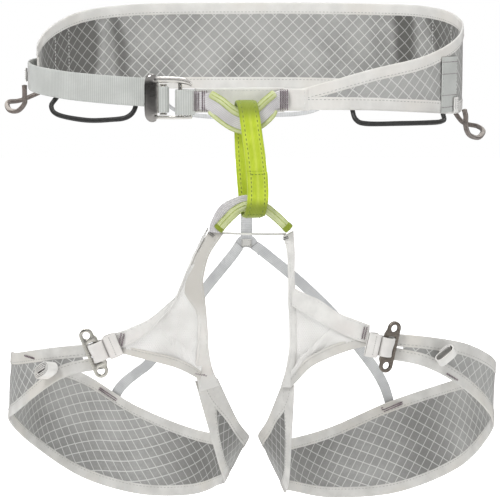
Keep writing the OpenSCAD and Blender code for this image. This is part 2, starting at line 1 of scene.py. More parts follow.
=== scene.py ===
"""Looks of the climbing harness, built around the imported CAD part.

Lengths are millimetres, with +X the wearer's left, -Y the front and +Z up, as in the CAD; make() turns them into
metres. Soft parts are bands between two edge curves, and hard parts are bevelled plates and bars.
"""
import json
import math
from collections import defaultdict

import bmesh
import bpy
import numpy as np
from mathutils import Matrix, Vector


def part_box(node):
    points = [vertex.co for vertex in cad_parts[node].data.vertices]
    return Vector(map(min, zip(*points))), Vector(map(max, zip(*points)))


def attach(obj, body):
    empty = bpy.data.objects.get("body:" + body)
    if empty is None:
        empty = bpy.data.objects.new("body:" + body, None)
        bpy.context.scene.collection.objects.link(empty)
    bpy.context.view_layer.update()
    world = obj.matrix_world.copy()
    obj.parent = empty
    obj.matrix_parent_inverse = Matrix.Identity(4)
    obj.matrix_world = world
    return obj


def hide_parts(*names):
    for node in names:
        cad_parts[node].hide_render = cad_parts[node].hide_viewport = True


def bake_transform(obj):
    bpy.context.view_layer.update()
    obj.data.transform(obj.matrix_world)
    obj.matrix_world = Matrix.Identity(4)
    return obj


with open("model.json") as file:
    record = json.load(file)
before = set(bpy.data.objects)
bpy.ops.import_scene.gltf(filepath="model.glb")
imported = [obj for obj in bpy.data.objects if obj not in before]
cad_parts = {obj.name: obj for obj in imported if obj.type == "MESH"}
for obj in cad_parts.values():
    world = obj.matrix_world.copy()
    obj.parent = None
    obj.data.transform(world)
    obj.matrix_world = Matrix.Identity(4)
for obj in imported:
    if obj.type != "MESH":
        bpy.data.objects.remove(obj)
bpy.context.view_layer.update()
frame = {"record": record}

MM = 0.001
FRONT, BACK, UP = np.array([0, -1.0, 0]), np.array([0, 1.0, 0]), np.array([0, 0, 1.0])
BODY_OF = {node: body for body, nodes in frame["record"]["behaviour"]["bodies"].items() for node in nodes}
SLOT_OF = {part["node"]: part["material_slot"] for part in frame["record"]["subparts"]}


# ---------------------------------------------------------------- curves

def unit(v):
    v = np.asarray(v, float)
    return v / np.maximum(np.linalg.norm(v, axis=-1, keepdims=True), 1e-9)


def curve(points, closed=False):
    """A smooth curve through the points, as a function of u from 0 to 1."""
    p = np.asarray(points, float)
    n = len(p) if closed else len(p) - 1
    k = np.vstack([p[-1:], p, p[:2]] if closed else [2 * p[:1] - p[1:2], p, 2 * p[-1:] - p[-2:-1]])

    def at(u):
        u = np.asarray(u, float)
        s = (u % 1 if closed else np.clip(u, 0, 1)) * n
        i = np.minimum(np.floor(s).astype(int), n - 1)
        a, b, c, d, t = k[i], k[i + 1], k[i + 2], k[i + 3], (s - i)[:, None]
        return 0.5 * (2 * b + (c - a) * t + (2 * a - 5 * b + 4 * c - d) * t ** 2 + (3 * b - a - 3 * c + d) * t ** 3)
    return at


def part_of(c, start, end):
    return lambda u: c(start + (end - start) * np.asarray(u, float))


def smoothstep(lo, hi, x):
    t = np.clip((x - lo) / (hi - lo), 0, 1)
    return t * t * (3 - 2 * t)


def soft_noise(s, w, scale_s, scale_w, seed, octaves=2):
    """Smooth repeatable waves over a band, roughly -1 to 1."""
    r = np.random.default_rng(seed)
    out, total = np.zeros(np.broadcast(s, w).shape), 0
    for o in range(octaves):
        for _ in range(5):
            fs, fw = r.normal(0, 1, 2) * (2 ** o)
            phase = r.uniform(0, 2 * math.pi)
            out = out + np.sin(fs * s / scale_s + fw * w / scale_w + phase) / (2 ** o)
            total += 0.6 / (2 ** o)
    return out / total


# ---------------------------------------------------------------- meshes

SHARP = math.radians(55)  # edges sharper than this stay crisp
ROW_SHARES = (0.06, 0.94)  # where rows of stitches cross a sewn patch
CAPSULE_FACES = [[0, 2, 1], [0, 3, 2], [0, 4, 3], [0, 1, 4], [1, 2, 6, 5], [2, 3, 7, 6], [3, 4, 8, 7], [4, 1, 5, 8],
                 [9, 5, 6], [9, 6, 7], [9, 7, 8], [9, 8, 5]]


def make(name, verts, faces, material, uv, on=None, bend=None):
    """A piece from vertices in millimetres.

    It stands for the CAD node of its name, which it hides, and rides on that node's body, or else on gives the body and
    a slot, which is not used. With bend it stays in place with its transform baked, instead of riding on a body.
    """
    mesh = bpy.data.meshes.new(name)
    mesh.from_pydata((np.asarray(verts, float) * MM).tolist(), [], [list(f) for f in faces])
    layer = mesh.uv_layers.new(name="weave")
    index = np.zeros(len(mesh.loops), int)
    mesh.loops.foreach_get("vertex_index", index)
    layer.data.foreach_set("uv", (np.asarray(uv, float)[index] * MM).astype(np.float32).ravel())
    bm = bmesh.new()
    bm.from_mesh(mesh)
    bmesh.ops.recalc_face_normals(bm, faces=bm.faces)
    bm.to_mesh(mesh)
    bm.free()
    mesh.shade_smooth()
    mesh.set_sharp_from_angle(angle=SHARP)
    mesh.materials.append(material)
    obj = bpy.data.objects.new(name, mesh)
    bpy.context.scene.collection.objects.link(obj)
    if on is None:
        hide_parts(name)
    body, slot = on or (BODY_OF[name], SLOT_OF[name])
    if bend:
        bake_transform(obj)
    else:
        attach(obj, body)


class Pile:
    """Collects several small shapes into one mesh."""

    def __init__(self):
        self.verts, self.faces, self.uv, self.count = [], [], [], 0

    def add(self, verts, faces, uv=None):
        self.verts.append(np.asarray(verts, float))
        self.faces += [[i + self.count for i in f] for f in faces]
        self.uv.append(np.zeros((len(verts), 2)) if uv is None else np.asarray(uv, float))
        self.count += len(verts)

    def make(self, name, material, on=None):
        make(name, np.vstack(self.verts), self.faces, material, np.vstack(self.uv), on)


def grid_faces(n, m, closed):
    """Faces of the two skins, the long sides and the ends of a band with n rows and m columns."""
    k, rows = n * m, np.arange(n if closed else n - 1)
    i, j = np.meshgrid(rows, np.arange(m - 1), indexing="ij")
    a, d = i * m + j, (i + 1) % n * m + j
    skin = np.stack([a, a + 1, d + 1, d], -1).reshape(-1, 4)
    faces = [skin, skin[:, ::-1] + k]
    edges = [(rows * m + j0, (rows + 1) % n * m + j0) for j0 in (0, m - 1)]
    if not closed:
        edges += [(i0 * m + np.arange(m - 1), i0 * m + np.arange(1, m)) for i0 in (0, n - 1)]
    faces += [np.stack([p, q, q + k, p + k], -1) for p, q in edges]
    return np.vstack(faces).tolist()


class Band:
    """A band of fabric or webbing between edge curves a and b.

    wave moves its middle surface, except within calm of its edges; relief thickens it; inset narrows it at each edge.
    """

    def __init__(self, a, b, thick, outward, closed=False, lift=0.0, inset=(0, 0), wave=None, relief=None, calm=None):
        self.a, self.b, self.thick, self.closed, self.lift = a, b, thick, closed, lift
        self.inset, self.wave, self.relief, self.calm, self.sign = inset, wave, relief, calm, 1
        self.table_u = np.linspace(0, 1, 801)
        middle = (a(self.table_u) + b(self.table_u)) / 2
        self.table_s = np.concatenate([[0], np.cumsum(np.linalg.norm(np.diff(middle, axis=0), axis=1))])
        self.length = self.table_s[-1]
        s = np.linspace(0.1, 0.9, 9) * self.length
        towards = outward(middle[::100]) if callable(outward) else np.asarray(outward, float)
        self.sign = 1 if np.sum(self.place(s, self.width(s) / 2)[1] * towards) > 0 else -1

    def width(self, s):
        u = np.interp(s, self.table_s, self.table_u)
        return np.linalg.norm(self.b(u) - self.a(u), axis=-1) - sum(self.inset)

    def place(self, s, w, near=0.6):
        """Middle surface and its outward normal at distance s along the band and w across it."""
        s, w = np.broadcast_arrays(np.asarray(s, float), np.asarray(w, float))
        shape, s, w = s.shape + (3,), s.ravel(), w.ravel()

        def point(s):
            u = np.interp(s % self.length if self.closed else s, self.table_s, self.table_u)
            pa, pb = self.a(u), self.b(u)
            full = np.linalg.norm(pb - pa, axis=-1)
            return pa + (pb - pa) * ((self.inset[0] + w) / np.maximum(full, 1e-6))[:, None], pb - pa, full

        p, across, full = point(s)
        normal = unit(np.cross(across, point(s + near)[0] - point(s - near)[0])) * self.sign
        p = p + normal * self.lift
        if self.wave:
            height = self.wave(s, w, p)
            if self.calm:
                from_edge = np.minimum(w, full - sum(self.inset) - w)
                height = height * smoothstep(self.calm * 0.7, self.calm * 1.6, from_edge)
            p = p + normal * height[:, None]
        return p.reshape(shape), normal.reshape(shape)

    def lay(self, step, columns):
        """Vertices, faces and weave coordinates of the whole band, with rounded rims."""
        t, n = self.thick, max(4, int(round(self.length / step)))
        rim = lambda count: np.concatenate([[0.35, 0.8], np.ones(count), [0.8, 0.35]])
        if self.closed:
            s, along = np.arange(n) * self.length / n, np.ones(n)
        else:
            s = np.concatenate([[0, 0.3 * t], np.linspace(t, self.length - t, n), self.length - np.array([0.3 * t, 0])])
            along = rim(n)
        width, across = self.width(s), rim(columns)
        e = np.minimum(t, width / 4)
        inner = [e + (width - 2 * e) * v for v in np.linspace(0, 1, columns)]
        w = np.stack([np.zeros_like(s), 0.3 * e] + inner + [width - 0.3 * e, width], axis=1)
        s = np.repeat(s[:, None], w.shape[1], axis=1)
        mid, normal = self.place(s, w)
        half = t / 2 * np.minimum(along[:, None], across)
        if self.relief:
            half = half + self.relief(s, w, width[:, None]) * (across > 0.9)
        verts = np.vstack([(mid + skin * normal * half[..., None]).reshape(-1, 3) for skin in (1, -1)])
        uv = np.stack([s, w], -1).reshape(-1, 2)
        return verts, grid_faces(*w.shape, self.closed), np.vstack([uv, uv])

    def make(self, name, material, step, columns=7, weave=None, **more):
        verts, faces, uv = self.lay(step, columns)
        make(name, verts, faces, material, weave(verts, uv) if weave else uv, **more)
        return self

    def sew(self, pile, offset, *thread, from_b=False, trim=(0, 0), skins=(1, -1)):
        """A row of stitches along the band, at a distance from edge a or from edge b."""
        start, end = trim[0], self.length - trim[1]
        s = np.linspace(start, end, max(2, int((end - start) / 0.8)))
        stitch(pile, *self.place(s, self.width(s) - offset if from_b else offset), *thread, skins)

    def sew_across(self, pile, share, lo, hi, count, *thread, skins=(1,)):
        """A row of stitches across the band, at a share of its length."""
        stitch(pile, *self.place(np.full(count, self.length * share), np.linspace(lo, hi, count)), *thread, skins)


def capsule(c, t, n, length, r):
    """A stitch: a small pointed bead of thread."""
    t = unit(t)
    b = unit(np.cross(t, n))
    n = np.cross(b, t)
    verts = [c - t * length / 2 - n * r * 0.5]
    for k in (-0.30, 0.30):
        o = c + t * length * k
        verts += [o + b * r, o + n * r, o - b * r, o - n * r * 0.6]
    return verts + [c + t * length / 2 - n * r * 0.5], CAPSULE_FACES


def stitch(pile, points, normals, pitch, length, r, off, skins=(1, -1)):
    """Stitches along a line, off the middle surface of a band, on one or both of its faces."""
    dist = np.concatenate([[0], np.cumsum(np.linalg.norm(np.diff(points, axis=0), axis=1))])
    at = lambda s, values: np.array([np.interp(s, dist, values[:, i]) for i in range(3)])
    count = int(dist[-1] / pitch)
    for k in range(count):
        s = (k + 0.5) * dist[-1] / count
        n = unit(at(s, normals))
        for skin in skins:
            pile.add(*capsule(at(s, points) + n * skin * off, at(s + 0.5, points) - at(s - 0.5, points), n * skin,
                              length, r))


def cord(points, r, flat=(0, 1, 0), n=90, sides=16, r2=None, r_at=None):
    """An oval tube along a curve, with radius r2 towards flat; r_at swells it along u."""
    c, u = curve(points), np.linspace(0, 1, n + 1)
    p, f = c(u), np.asarray(flat, float)
    t = unit(c(u + 0.004) - c(u - 0.004))
    w = unit(f - t * np.sum(f * t, axis=-1, keepdims=True))
    v = np.cross(t, w)
    k = np.arange(sides) * 2 * math.pi / sides
    from_end = np.minimum(u, 1 - u) * n / 1.6
    cap = np.where(from_end < 1, np.sqrt(np.clip(1 - (1 - from_end) ** 2, 0.02, 1)), 1)
    cap = cap * (1 if r_at is None else r_at(u))
    ringed = (p[:, None] + (v[:, None] * np.cos(k)[None, :, None] * r
                            + w[:, None] * np.sin(k)[None, :, None] * (r2 or r)) * cap[:, None, None])
    faces = [[i + j, i + (j + 1) % sides, i + sides + (j + 1) % sides, i + sides + j]
             for i in range(0, n * sides, sides) for j in range(sides)]
    faces += [list(range(sides))[::-1], [n * sides + j for j in range(sides)]]
    length = np.concatenate([[0], np.cumsum(np.linalg.norm(np.diff(p, axis=0), axis=1))])
    uv = np.stack(np.broadcast_arrays(length[:, None], (k * r)[None, :]), -1).reshape(-1, 2)
    return ringed.reshape(-1, 3), faces, uv


def plate(outlines, depth, bevel):
    """A flat plate with rounded edges from closed outlines; the first is the outside, the others are holes."""
    data = bpy.data.curves.new("outline", "CURVE")
    data.dimensions, data.fill_mode = "2D", "BOTH"
    data.extrude, data.bevel_depth, data.bevel_resolution, data.offset = depth / 2 - bevel, bevel, 3, -bevel
    for points in outlines:
        line = data.splines.new("POLY")
        line.points.add(len(points) - 1)
        for q, (x, y) in zip(line.points, points):
            q.co = (x, y, 0, 1)
        line.use_cyclic_u = True
    obj = bpy.data.objects.new("outline", data)
    bpy.context.scene.collection.objects.link(obj)
    bpy.context.view_layer.update()
    mesh = bpy.data.meshes.new_from_object(obj.evaluated_get(bpy.context.evaluated_depsgraph_get()))
    bm = bmesh.new()
    bm.from_mesh(mesh)
    bmesh.ops.remove_doubles(bm, verts=bm.verts, dist=0.001)
    verts = np.array([v.co for v in bm.verts])
    faces = [[v.index for v in f.verts] for f in bm.faces]
    bm.free()
    bpy.data.objects.remove(obj)
    bpy.data.curves.remove(data)
    bpy.data.meshes.remove(mesh)
    return verts, faces


def arc(cx, cy, r, start, end, n=10):
    a = np.radians(np.linspace(start, end, n + 1))
    return [(cx + r * math.cos(k), cy + r * math.sin(k)) for k in a]


def moved(verts, matrix):
    m = np.array(matrix)
    return np.asarray(verts, float) @ m[:3, :3].T + m[:3, 3]


def turn(axis, degrees):
    return Matrix.Rotation(math.radians(degrees), 4, axis)


def centred(verts, node):
    """The same shape with the middle of its box where the CAD node's is."""
    low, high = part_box(node)
    return verts + np.array((low + high) / 2) / MM - (verts.min(0) + verts.max(0)) / 2


# ---------------------------------------------------------------- materials

def linear(srgb):
    """A colour given as it looks on a screen, 0 to 1, as the linear value that nodes take."""
    return tuple(c / 12.92 if c <= 0.04045 else ((c + 0.055) / 1.055) ** 2.4 for c in srgb) + (1,)


class Shader:
    """A small builder of procedural materials around one Principled node. Colours of three numbers are screen ones."""

    def __init__(self, name, roughness=0.7, metallic=0, sheen=0.0):
        self.material = bpy.data.materials.new(name)
        self.material.use_nodes = True
        self.tree = self.material.node_tree
        self.tree.nodes.clear()
        self.bsdf = self.node("ShaderNodeBsdfPrincipled")
        self.link(self.bsdf.outputs[0], self.node("ShaderNodeOutputMaterial").inputs[0])
        for key, value in (("Roughness", roughness), ("Metallic", metallic), ("Sheen Weight", sheen),
                           ("Sheen Roughness", 0.5)):
            self.bsdf.inputs[key].default_value = value
        self.place = self.node("ShaderNodeTexCoord").outputs["Object"]
        self.s, self.w, _ = self.split(self.node("ShaderNodeUVMap", uv_map="weave").outputs[0])
        self.x, self.y, self.z = self.split(self.place)
        self.normal_y = self.split(self.node("ShaderNodeNewGeometry").outputs["True Normal"])[1]

    def node(self, kind, **props):
        n = self.tree.nodes.new(kind)
        for key, value in props.items():
            setattr(n, key, value)
        return n

    def link(self, a, b):
        self.tree.links.new(a, b)

    def split(self, vector):
        n = self.node("ShaderNodeSeparateXYZ")
        self.link(vector, n.inputs[0])
        return n.outputs

    def put(self, value, socket):
        if isinstance(value, bpy.types.NodeSocket):
            self.link(value, socket)
        else:
            socket.default_value = linear(value) if isinstance(value, tuple) and len(value) == 3 else value

    def math(self, operation, *values):
        n = self.node("ShaderNodeMath", operation=operation)
        for value, socket in zip(values, n.inputs):
            self.put(value, socket)
        return n.outputs[0]

    def times(self, a, b):
        return self.math("MULTIPLY", a, b)

    def highest(self, a, b):
        return self.math("MAXIMUM", a, b)

    def ramp(self, value, lo, hi, out_lo=0.0, out_hi=1.0):
        n = self.node("ShaderNodeMapRange", interpolation_type="SMOOTHSTEP")
        for v, socket in zip((value, lo, hi, out_lo, out_hi), n.inputs):
            self.put(v, socket)
        return n.outputs[0]

    def between(self, place, lo, hi, out_lo=0.0, out_hi=1.0):
        """A ramp over a place on the object, from lo to hi in millimetres."""
        return self.ramp(place, lo * MM, hi * MM, out_lo, out_hi)

    def noise(self, scale, detail=3, source=None):
        n = self.node("ShaderNodeTexNoise")
        for key, value in (("Scale", scale), ("Detail", detail), ("Roughness", 0.55)):
            n.inputs[key].default_value = value
        self.link(source or self.place, n.inputs["Vector"])
        return n.outputs["Fac"]

    def patches(self, scale, detail, lo, hi):
        return self.ramp(self.noise(scale, detail), lo, hi)

    def mix(self, factor, a, b):
        n = self.node("ShaderNodeMix", data_type="RGBA")
        for value, k in ((factor, 0), (a, 6), (b, 7)):
            self.put(value, n.inputs[k])
        return n.outputs[2]

    def tint(self, base, *layers):
        """The base with each layer's colour laid over it: its mask, the amount at full mask, and the colour."""
        for mask, amount, colour in layers:
            base = self.mix(mask if amount == 1 else self.times(mask, amount), base, colour)
        return base

    def line(self, value, pitch, half_width, soft=0.5):
        """1 on thin lines at every pitch of value, 0 between them."""
        f = self.math("PINGPONG", value, pitch * MM / 2)
        return self.ramp(f, half_width * MM * (1 - soft), half_width * MM * (1 + soft), 1, 0)

    def wave(self, value, pitch):
        """A round rib at every pitch, 0 to 1."""
        return self.math("MULTIPLY_ADD", self.math("SINE", self.times(value, 2 * math.pi / (pitch * MM))), 0.5, 0.5)

    def grazing_shade(self, amount):
        """Painted shade that rises where the surface turns away from the eye, darkening its edges."""
        return self.ramp(self.node("ShaderNodeLayerWeight").outputs["Facing"], 0.74, 0.98, 0, amount)

    def crevice_shade(self, reach, amount):
        """Painted shade that rises in folds and under neighbours, within a reach in millimetres."""
        n = self.node("ShaderNodeAmbientOcclusion", samples=8)
        n.inputs["Distance"].default_value = reach * MM
        return self.ramp(n.outputs["AO"], 0.30, 0.90, amount, 0)

    def colour(self, value):
        self.put(value, self.bsdf.inputs["Base Color"])

    def bump(self, height, distance, strength):
        n = self.node("ShaderNodeBump")
        n.inputs["Distance"].default_value = distance * MM
        n.inputs["Strength"].default_value = strength
        self.link(height, n.inputs["Height"])
        self.link(n.outputs[0], self.bsdf.inputs["Normal"])

    def rough(self, value, lo, hi, out_lo, out_hi):
        self.link(self.ramp(value, lo, hi, out_lo, out_hi), self.bsdf.inputs["Roughness"])


def ripstop_material(name, cell, shadows, front):
    """Light grey ripstop with painted shade zones: at the rear each (x, x or half widths, lean, amount), one in front.
    """
    m = Shader(name, roughness=0.55, sheen=0.1)
    ways = m.math("ADD", m.s, m.w), m.math("SUBTRACT", m.s, m.w)
    grid, fine = (m.highest(*(m.line(way, *threads) for way in ways)) for threads in ((cell, 0.46), (1.4, 0.3, 0.9)))
    cloudy = m.noise(26, 4)
    base = m.tint(m.mix(m.ramp(cloudy, 0.3, 0.7), (0.50, 0.50, 0.49), (0.62, 0.62, 0.61)),
                  (m.patches(900, 2, 0.25, 0.75), 0.25, (0.42, 0.42, 0.41)),
                  (m.patches(330, 2, 0.35, 0.7), 0.3, (0.45, 0.45, 0.44)),
                  (m.patches(12, 3, 0.42, 0.66), 0.5, (0.72, 0.72, 0.71)), (fine, 0.2, (0.72, 0.72, 0.71)))
    wobble = m.math("MULTIPLY_ADD", m.noise(18, 2), 0.02, -0.01)
    rear = m.times(m.between(m.y, 0, 20), m.ramp(m.normal_y, 0.15, -0.15))
    shade = 0.0
    for at, spread, lean, amount in shadows:
        across = m.math("ADD", m.math("MULTIPLY_ADD", m.z, lean, m.x), wobble)
        if isinstance(spread, tuple):
            zone = m.between(m.math("ABSOLUTE", m.math("SUBTRACT", across, at * MM)), *spread, 1, 0)
        else:
            zone = m.between(across, at, spread)
        shade = m.highest(shade, m.times(m.times(zone, rear), amount))
    if front:
        zone = m.times(m.between(m.x, *front[:2]), m.between(m.y, -20, -45))
        shade = m.highest(shade, m.times(zone, front[2]))
    # Painted shade in the zones, on the cloth and on its grid lines, and where the cloth turns away from the eye.
    base = m.tint(base, (shade, 1, (0.25, 0.245, 0.23)), (m.grazing_shade(0.5), 1, (0.36, 0.34, 0.32)))
    lines = m.tint((0.86, 0.86, 0.85), (shade, 0.55, (0.36, 0.355, 0.34)))
    m.colour(m.tint(base, (grid, 0.74, lines)))
    m.bump(m.math("ADD", m.times(grid, 0.8), m.times(fine, 0.3)), 0.2, 0.5)
    m.rough(cloudy, 0.3, 0.7, 0.45, 0.65)
    return m.material


def webbing_material(name, light, dark, pitch, across=True, rib=0.2, warm=None, fine=0.5, rough=0.75, high=None,
                     low=None, reach=6):
    """Woven tape: ribs across or along it, a finer weave over them, a soft uneven tone, and painted shade where it
    turns away from the eye and in crevices within reach.
    """
    m = Shader(name, roughness=rough, sheen=0.25)
    ribs, threads = (m.s, m.w) if across else (m.w, m.s)
    weave = m.times(m.wave(ribs, pitch), m.math("MULTIPLY_ADD", m.wave(threads, fine), 0.4, 0.6))
    tone = m.noise(60, 4)
    layers = [(m.patches(22, 2, 0.45, 0.7), 0.6, warm), (m.between(m.z, -166, -146, 0, 0.85), 1, high),
              # Painted shade: the layer where the tape turns away from the eye, and the crevice layer.
              (m.between(m.z, -203, -218), 1, low), (m.grazing_shade(0.45), 1, (0.50, 0.465, 0.44)),
              (m.crevice_shade(reach, 0.62), 1, (0.42, 0.40, 0.385)),
              (m.math("SUBTRACT", 1.0, weave), rib, tuple(c * 0.8 for c in dark))]
    m.colour(m.tint(m.mix(m.ramp(tone, 0.3, 0.72), dark, light), *(layer for layer in layers if layer[2])))
    m.bump(weave, 0.18, 0.7)
    m.rough(tone, 0.3, 0.7, rough - 0.08, rough + 0.1)
    return m.material


def mesh_material():
    m = Shader("mesh", roughness=0.8, sheen=0.3)
    lean = m.times(m.w, 0.6)
    holes = m.times(*(m.wave(m.math(way, m.s, lean), 1.7) for way in ("ADD", "SUBTRACT")))
    base = m.mix(m.patches(34, 4, 0.3, 0.7), (0.85, 0.845, 0.83), (0.94, 0.935, 0.925))
    m.colour(m.tint(base, (m.ramp(holes, 0.35, 0.8, 0, 0.6), 1, (0.74, 0.735, 0.73))))
    m.bump(m.math("SUBTRACT", 1.0, holes), 0.25, 0.7)
    return m.material


def lime_material():
    m = Shader("lime_webbing", roughness=0.6, sheen=0.3)
    weave = m.times(m.wave(m.w, 1.1), m.math("MULTIPLY_ADD", m.wave(m.s, 0.9), 0.5, 0.5))
    stripes = m.line(m.math("ADD", m.w, 2.4 * MM), 4.9, 0.9, 0.8)
    # Painted shade on the loop's folded ends, at its top and at its bottom.
    ends = m.highest(m.between(m.z, -14, -3), m.between(m.z, -67, -76))
    m.colour(m.tint(m.mix(m.patches(70, 3, 0.3, 0.7), (0.70, 0.78, 0.06), (0.80, 0.87, 0.18)),
                    (m.math("SUBTRACT", 1.0, weave), 0.35, (0.55, 0.64, 0.03)), (stripes, 0.3, (0.86, 0.90, 0.42)),
                    (ends, 0.9, (0.47, 0.53, 0.0))))
    m.bump(weave, 0.2, 0.8)
    return m.material


def pale_green_material():
    m = Shader("pale_guard", roughness=0.6, sheen=0.4)
    ribs, lines = m.wave(m.s, 1.0), m.wave(m.w, 1.9)
    m.colour(m.tint(m.mix(m.patches(80, 3, 0.3, 0.7), (0.76, 0.79, 0.58), (0.84, 0.86, 0.70)),
                    (lines, 0.35, (0.66, 0.70, 0.40)), (ribs, 0.25, (0.68, 0.72, 0.46))))
    m.bump(m.times(ribs, lines), 0.2, 0.6)
    return m.material


def metal_material(name, bright, dim, rough, wear_and_highlight_amount, end_bar_dark_reflection=None):
    """Brushed metal, brighter at its edges, partly as edge wear and partly as a painted highlight; the last argument
    paints a dark reflection on the left end of the waist buckle.
    """
    m = Shader(name, roughness=rough, metallic=1)
    brushed = m.node("ShaderNodeMapping")
    m.link(m.place, brushed.inputs["Vector"])
    brushed.inputs["Scale"].default_value = (1, 1, 14)
    streaks = m.noise(260, 4, brushed.outputs[0])
    edge = m.ramp(m.node("ShaderNodeNewGeometry").outputs["Pointiness"], 0.5, 0.56)
    wear_and_highlight_colour = tuple(min(1, c * 1.12) for c in bright)
    # Painted highlight on the edges, partly real edge wear.
    base = m.tint(m.mix(m.ramp(streaks, 0.3, 0.75), dim, bright), (edge, wear_and_highlight_amount, wear_and_highlight_colour))
    # Painted dark reflection on the left end of the waist buckle.
    m.colour(m.tint(base, (m.between(m.x, -69.5, -66.0, 1, 0), 1, end_bar_dark_reflection)) if end_bar_dark_reflection else base)
    m.rough(streaks, 0.25, 0.75, rough * 0.75, rough * 1.5)
    m.bump(streaks, 0.02, 0.3)
    return m.material


def moulded_material(name, base, light, rough, stripe=None):
    m = Shader(name, roughness=rough)
    grain = m.noise(420, 3)
    tone = m.mix(m.ramp(grain, 0.3, 0.7), base, light)
    if stripe:
        edge = m.math("SINE", m.times(m.w, 1 / (2.1 * MM)))
        tone = m.tint(tone, (m.ramp(edge, 0.55, 0.9, 0, 0.75), 1, stripe))
    m.colour(tone)
    m.rough(m.noise(30, 2), 0.3, 0.7, rough - 0.08, rough + 0.12)
    m.bump(m.math("ADD", grain, m.times(m.wave(m.s, 1.3), 0.5)), 0.12, 0.5)
    return m.material


def thread_material(name, dark, light):
    m = Shader(name, roughness=0.7, sheen=0.4)
    m.colour(m.mix(m.patches(500, 2, 0.35, 0.65), dark, light))
    m.bump(m.noise(2600, 2), 0.05, 0.5)
    return m.material


# The zones in these lists are painted shade on the inner side of the cloth, where folds and its turning ends fall into
# shadow.
BELT_CLOTH = ripstop_material("belt_ripstop", 10.2, [(-124, -131, 0, 0.8), (-101, (1, 8), 0.25, 0.6),
                                                     (131, (4, 12), 0.08, 0.8), (154, 162, 0.24, 0.75)], None)
LEG_CLOTH = {
    "left": ripstop_material("left_leg_ripstop", 10.6, [(-95, -45, 0, 0.55), (-140, (0, 30), 0, 0.1)],
                             (-48, -40, 0.45)),
    "right": ripstop_material("right_leg_ripstop", 10.9, [(95, 45, 0, 0.35), (150, (0, 30), 0, 0.3)], (44, 36, 0.45))}
TAPE_END, TAPE_PALE, TAPE_PALE_DARK = (0.865, 0.86, 0.845), (0.94, 0.935, 0.92), (0.86, 0.855, 0.84)
GREY_TAPE = webbing_material("grey_tape", (0.875, 0.87, 0.855), (0.79, 0.785, 0.77), 0.9, rib=0.22,
                             warm=(0.85, 0.83, 0.79))
BELT_TAPE = webbing_material("belt_tape", (0.925, 0.92, 0.905), TAPE_PALE_DARK, 0.9, rib=0.22, warm=(0.89, 0.87, 0.84))
STRAP = webbing_material("waist_strap", (0.815, 0.825, 0.81), (0.755, 0.765, 0.75), 1.7, rib=0.55, fine=1.0)
WHITE_TAPE = webbing_material("white_tape", (0.95, 0.945, 0.93), (0.87, 0.865, 0.85), 0.8, rib=0.16,
                              warm=(0.89, 0.865, 0.85))
WARM_TAPE = webbing_material("warm_tape", (0.93, 0.925, 0.91), (0.86, 0.85, 0.83), 0.8, warm=(0.87, 0.845, 0.82),
                             high=(0.77, 0.755, 0.725), low=TAPE_END)
# A long reach paints deep shade inside the rolled keeper.
KEEPER = webbing_material("keeper_tape", TAPE_PALE, TAPE_PALE_DARK, 0.8, warm=(0.87, 0.84, 0.80), reach=16)
LEG_TAPE = webbing_material("leg_tape", TAPE_PALE, TAPE_PALE_DARK, 0.8, warm=(0.88, 0.86, 0.84), low=TAPE_END)
RIBBED = webbing_material("ribbed_tape", (0.90, 0.89, 0.895), (0.79, 0.78, 0.785), 1.3, across=False, rib=0.6, fine=1.0)
ELASTIC = webbing_material("elastic", (0.84, 0.845, 0.845), (0.74, 0.745, 0.75), 1.5, rib=0.4, fine=1.5, rough=0.6)
MESH, LIME, PALE = mesh_material(), lime_material(), pale_green_material()
BRIGHT = metal_material("bright_metal", (0.80, 0.79, 0.76), (0.58, 0.57, 0.54), 0.2, 0.5)
DARK = metal_material("dark_metal", (0.50, 0.47, 0.44), (0.30, 0.28, 0.26), 0.28, 0.7)
# The last colour is a painted dark reflection on the buckle's end bar.
BUCKLE = metal_material("waist_buckle_metal", (0.86, 0.85, 0.83), (0.68, 0.67, 0.65), 0.15, 0.4, (0.56, 0.55, 0.54))
BLACK = moulded_material("black_loop", (0.055, 0.055, 0.055), (0.13, 0.13, 0.125), 0.42)
BROWN = moulded_material("brown_loop", (0.36, 0.33, 0.31), (0.46, 0.42, 0.40), 0.55, stripe=(0.78, 0.75, 0.72))
THREAD = thread_material("tack_thread", (0.34, 0.28, 0.31), (0.50, 0.43, 0.46))
GREY_THREAD = thread_material("grey_thread", (0.58, 0.58, 0.57), (0.72, 0.72, 0.70))
# The rows of stitching and piping that aren't CAD nodes: one piece on each body, named after the body and this.
SEWING = {"grey_stitching": (GREY_THREAD, "grey_webbing"),
          "white_stitching": (thread_material("white_thread", (0.80, 0.80, 0.79), (0.92, 0.92, 0.91)), "white_webbing"),
          "black_stitching": (thread_material("black_thread", (0.08, 0.08, 0.08), (0.2, 0.2, 0.2)), "thread"),
          "side_tape_stitching": (THREAD, "thread"),
          "loop_stitching": (thread_material("green_thread", (0.33, 0.40, 0.0), (0.46, 0.54, 0.02)), "green_webbing"),
          "guard_piping": (thread_material("guard_piping", (0.58, 0.63, 0.30), (0.70, 0.74, 0.42)), "pale_green_guard")}
sewn = defaultdict(Pile)


# ---------------------------------------------------------------- waist belt

BELT_W, BELT_D, BELT_POWER = 332, 220, 2.4
BELT_FOLDS = ((-118, 9, -2.6), (-104, 8, 1.8), (120, 9, -2.4), (133, 8, 2.2), (146, 7, -1.6), (-20, 40, 0.8))
TOP_HEIGHTS = [(-81, 9), (-62, 23), (-42, 32), (-20, 45), (0, 57), (30, 67), (60, 69.5), (90, 70),
               (120, 69), (142, 64), (160, 54), (184, 38)]
BOTTOM_HEIGHTS = [(-81, -6), (-62, -7), (-42, -10), (-20, -13), (0, -11), (30, -6), (60, -3), (90, -2),
                  (120, -2), (142, -2), (160, 0), (184, 6)]


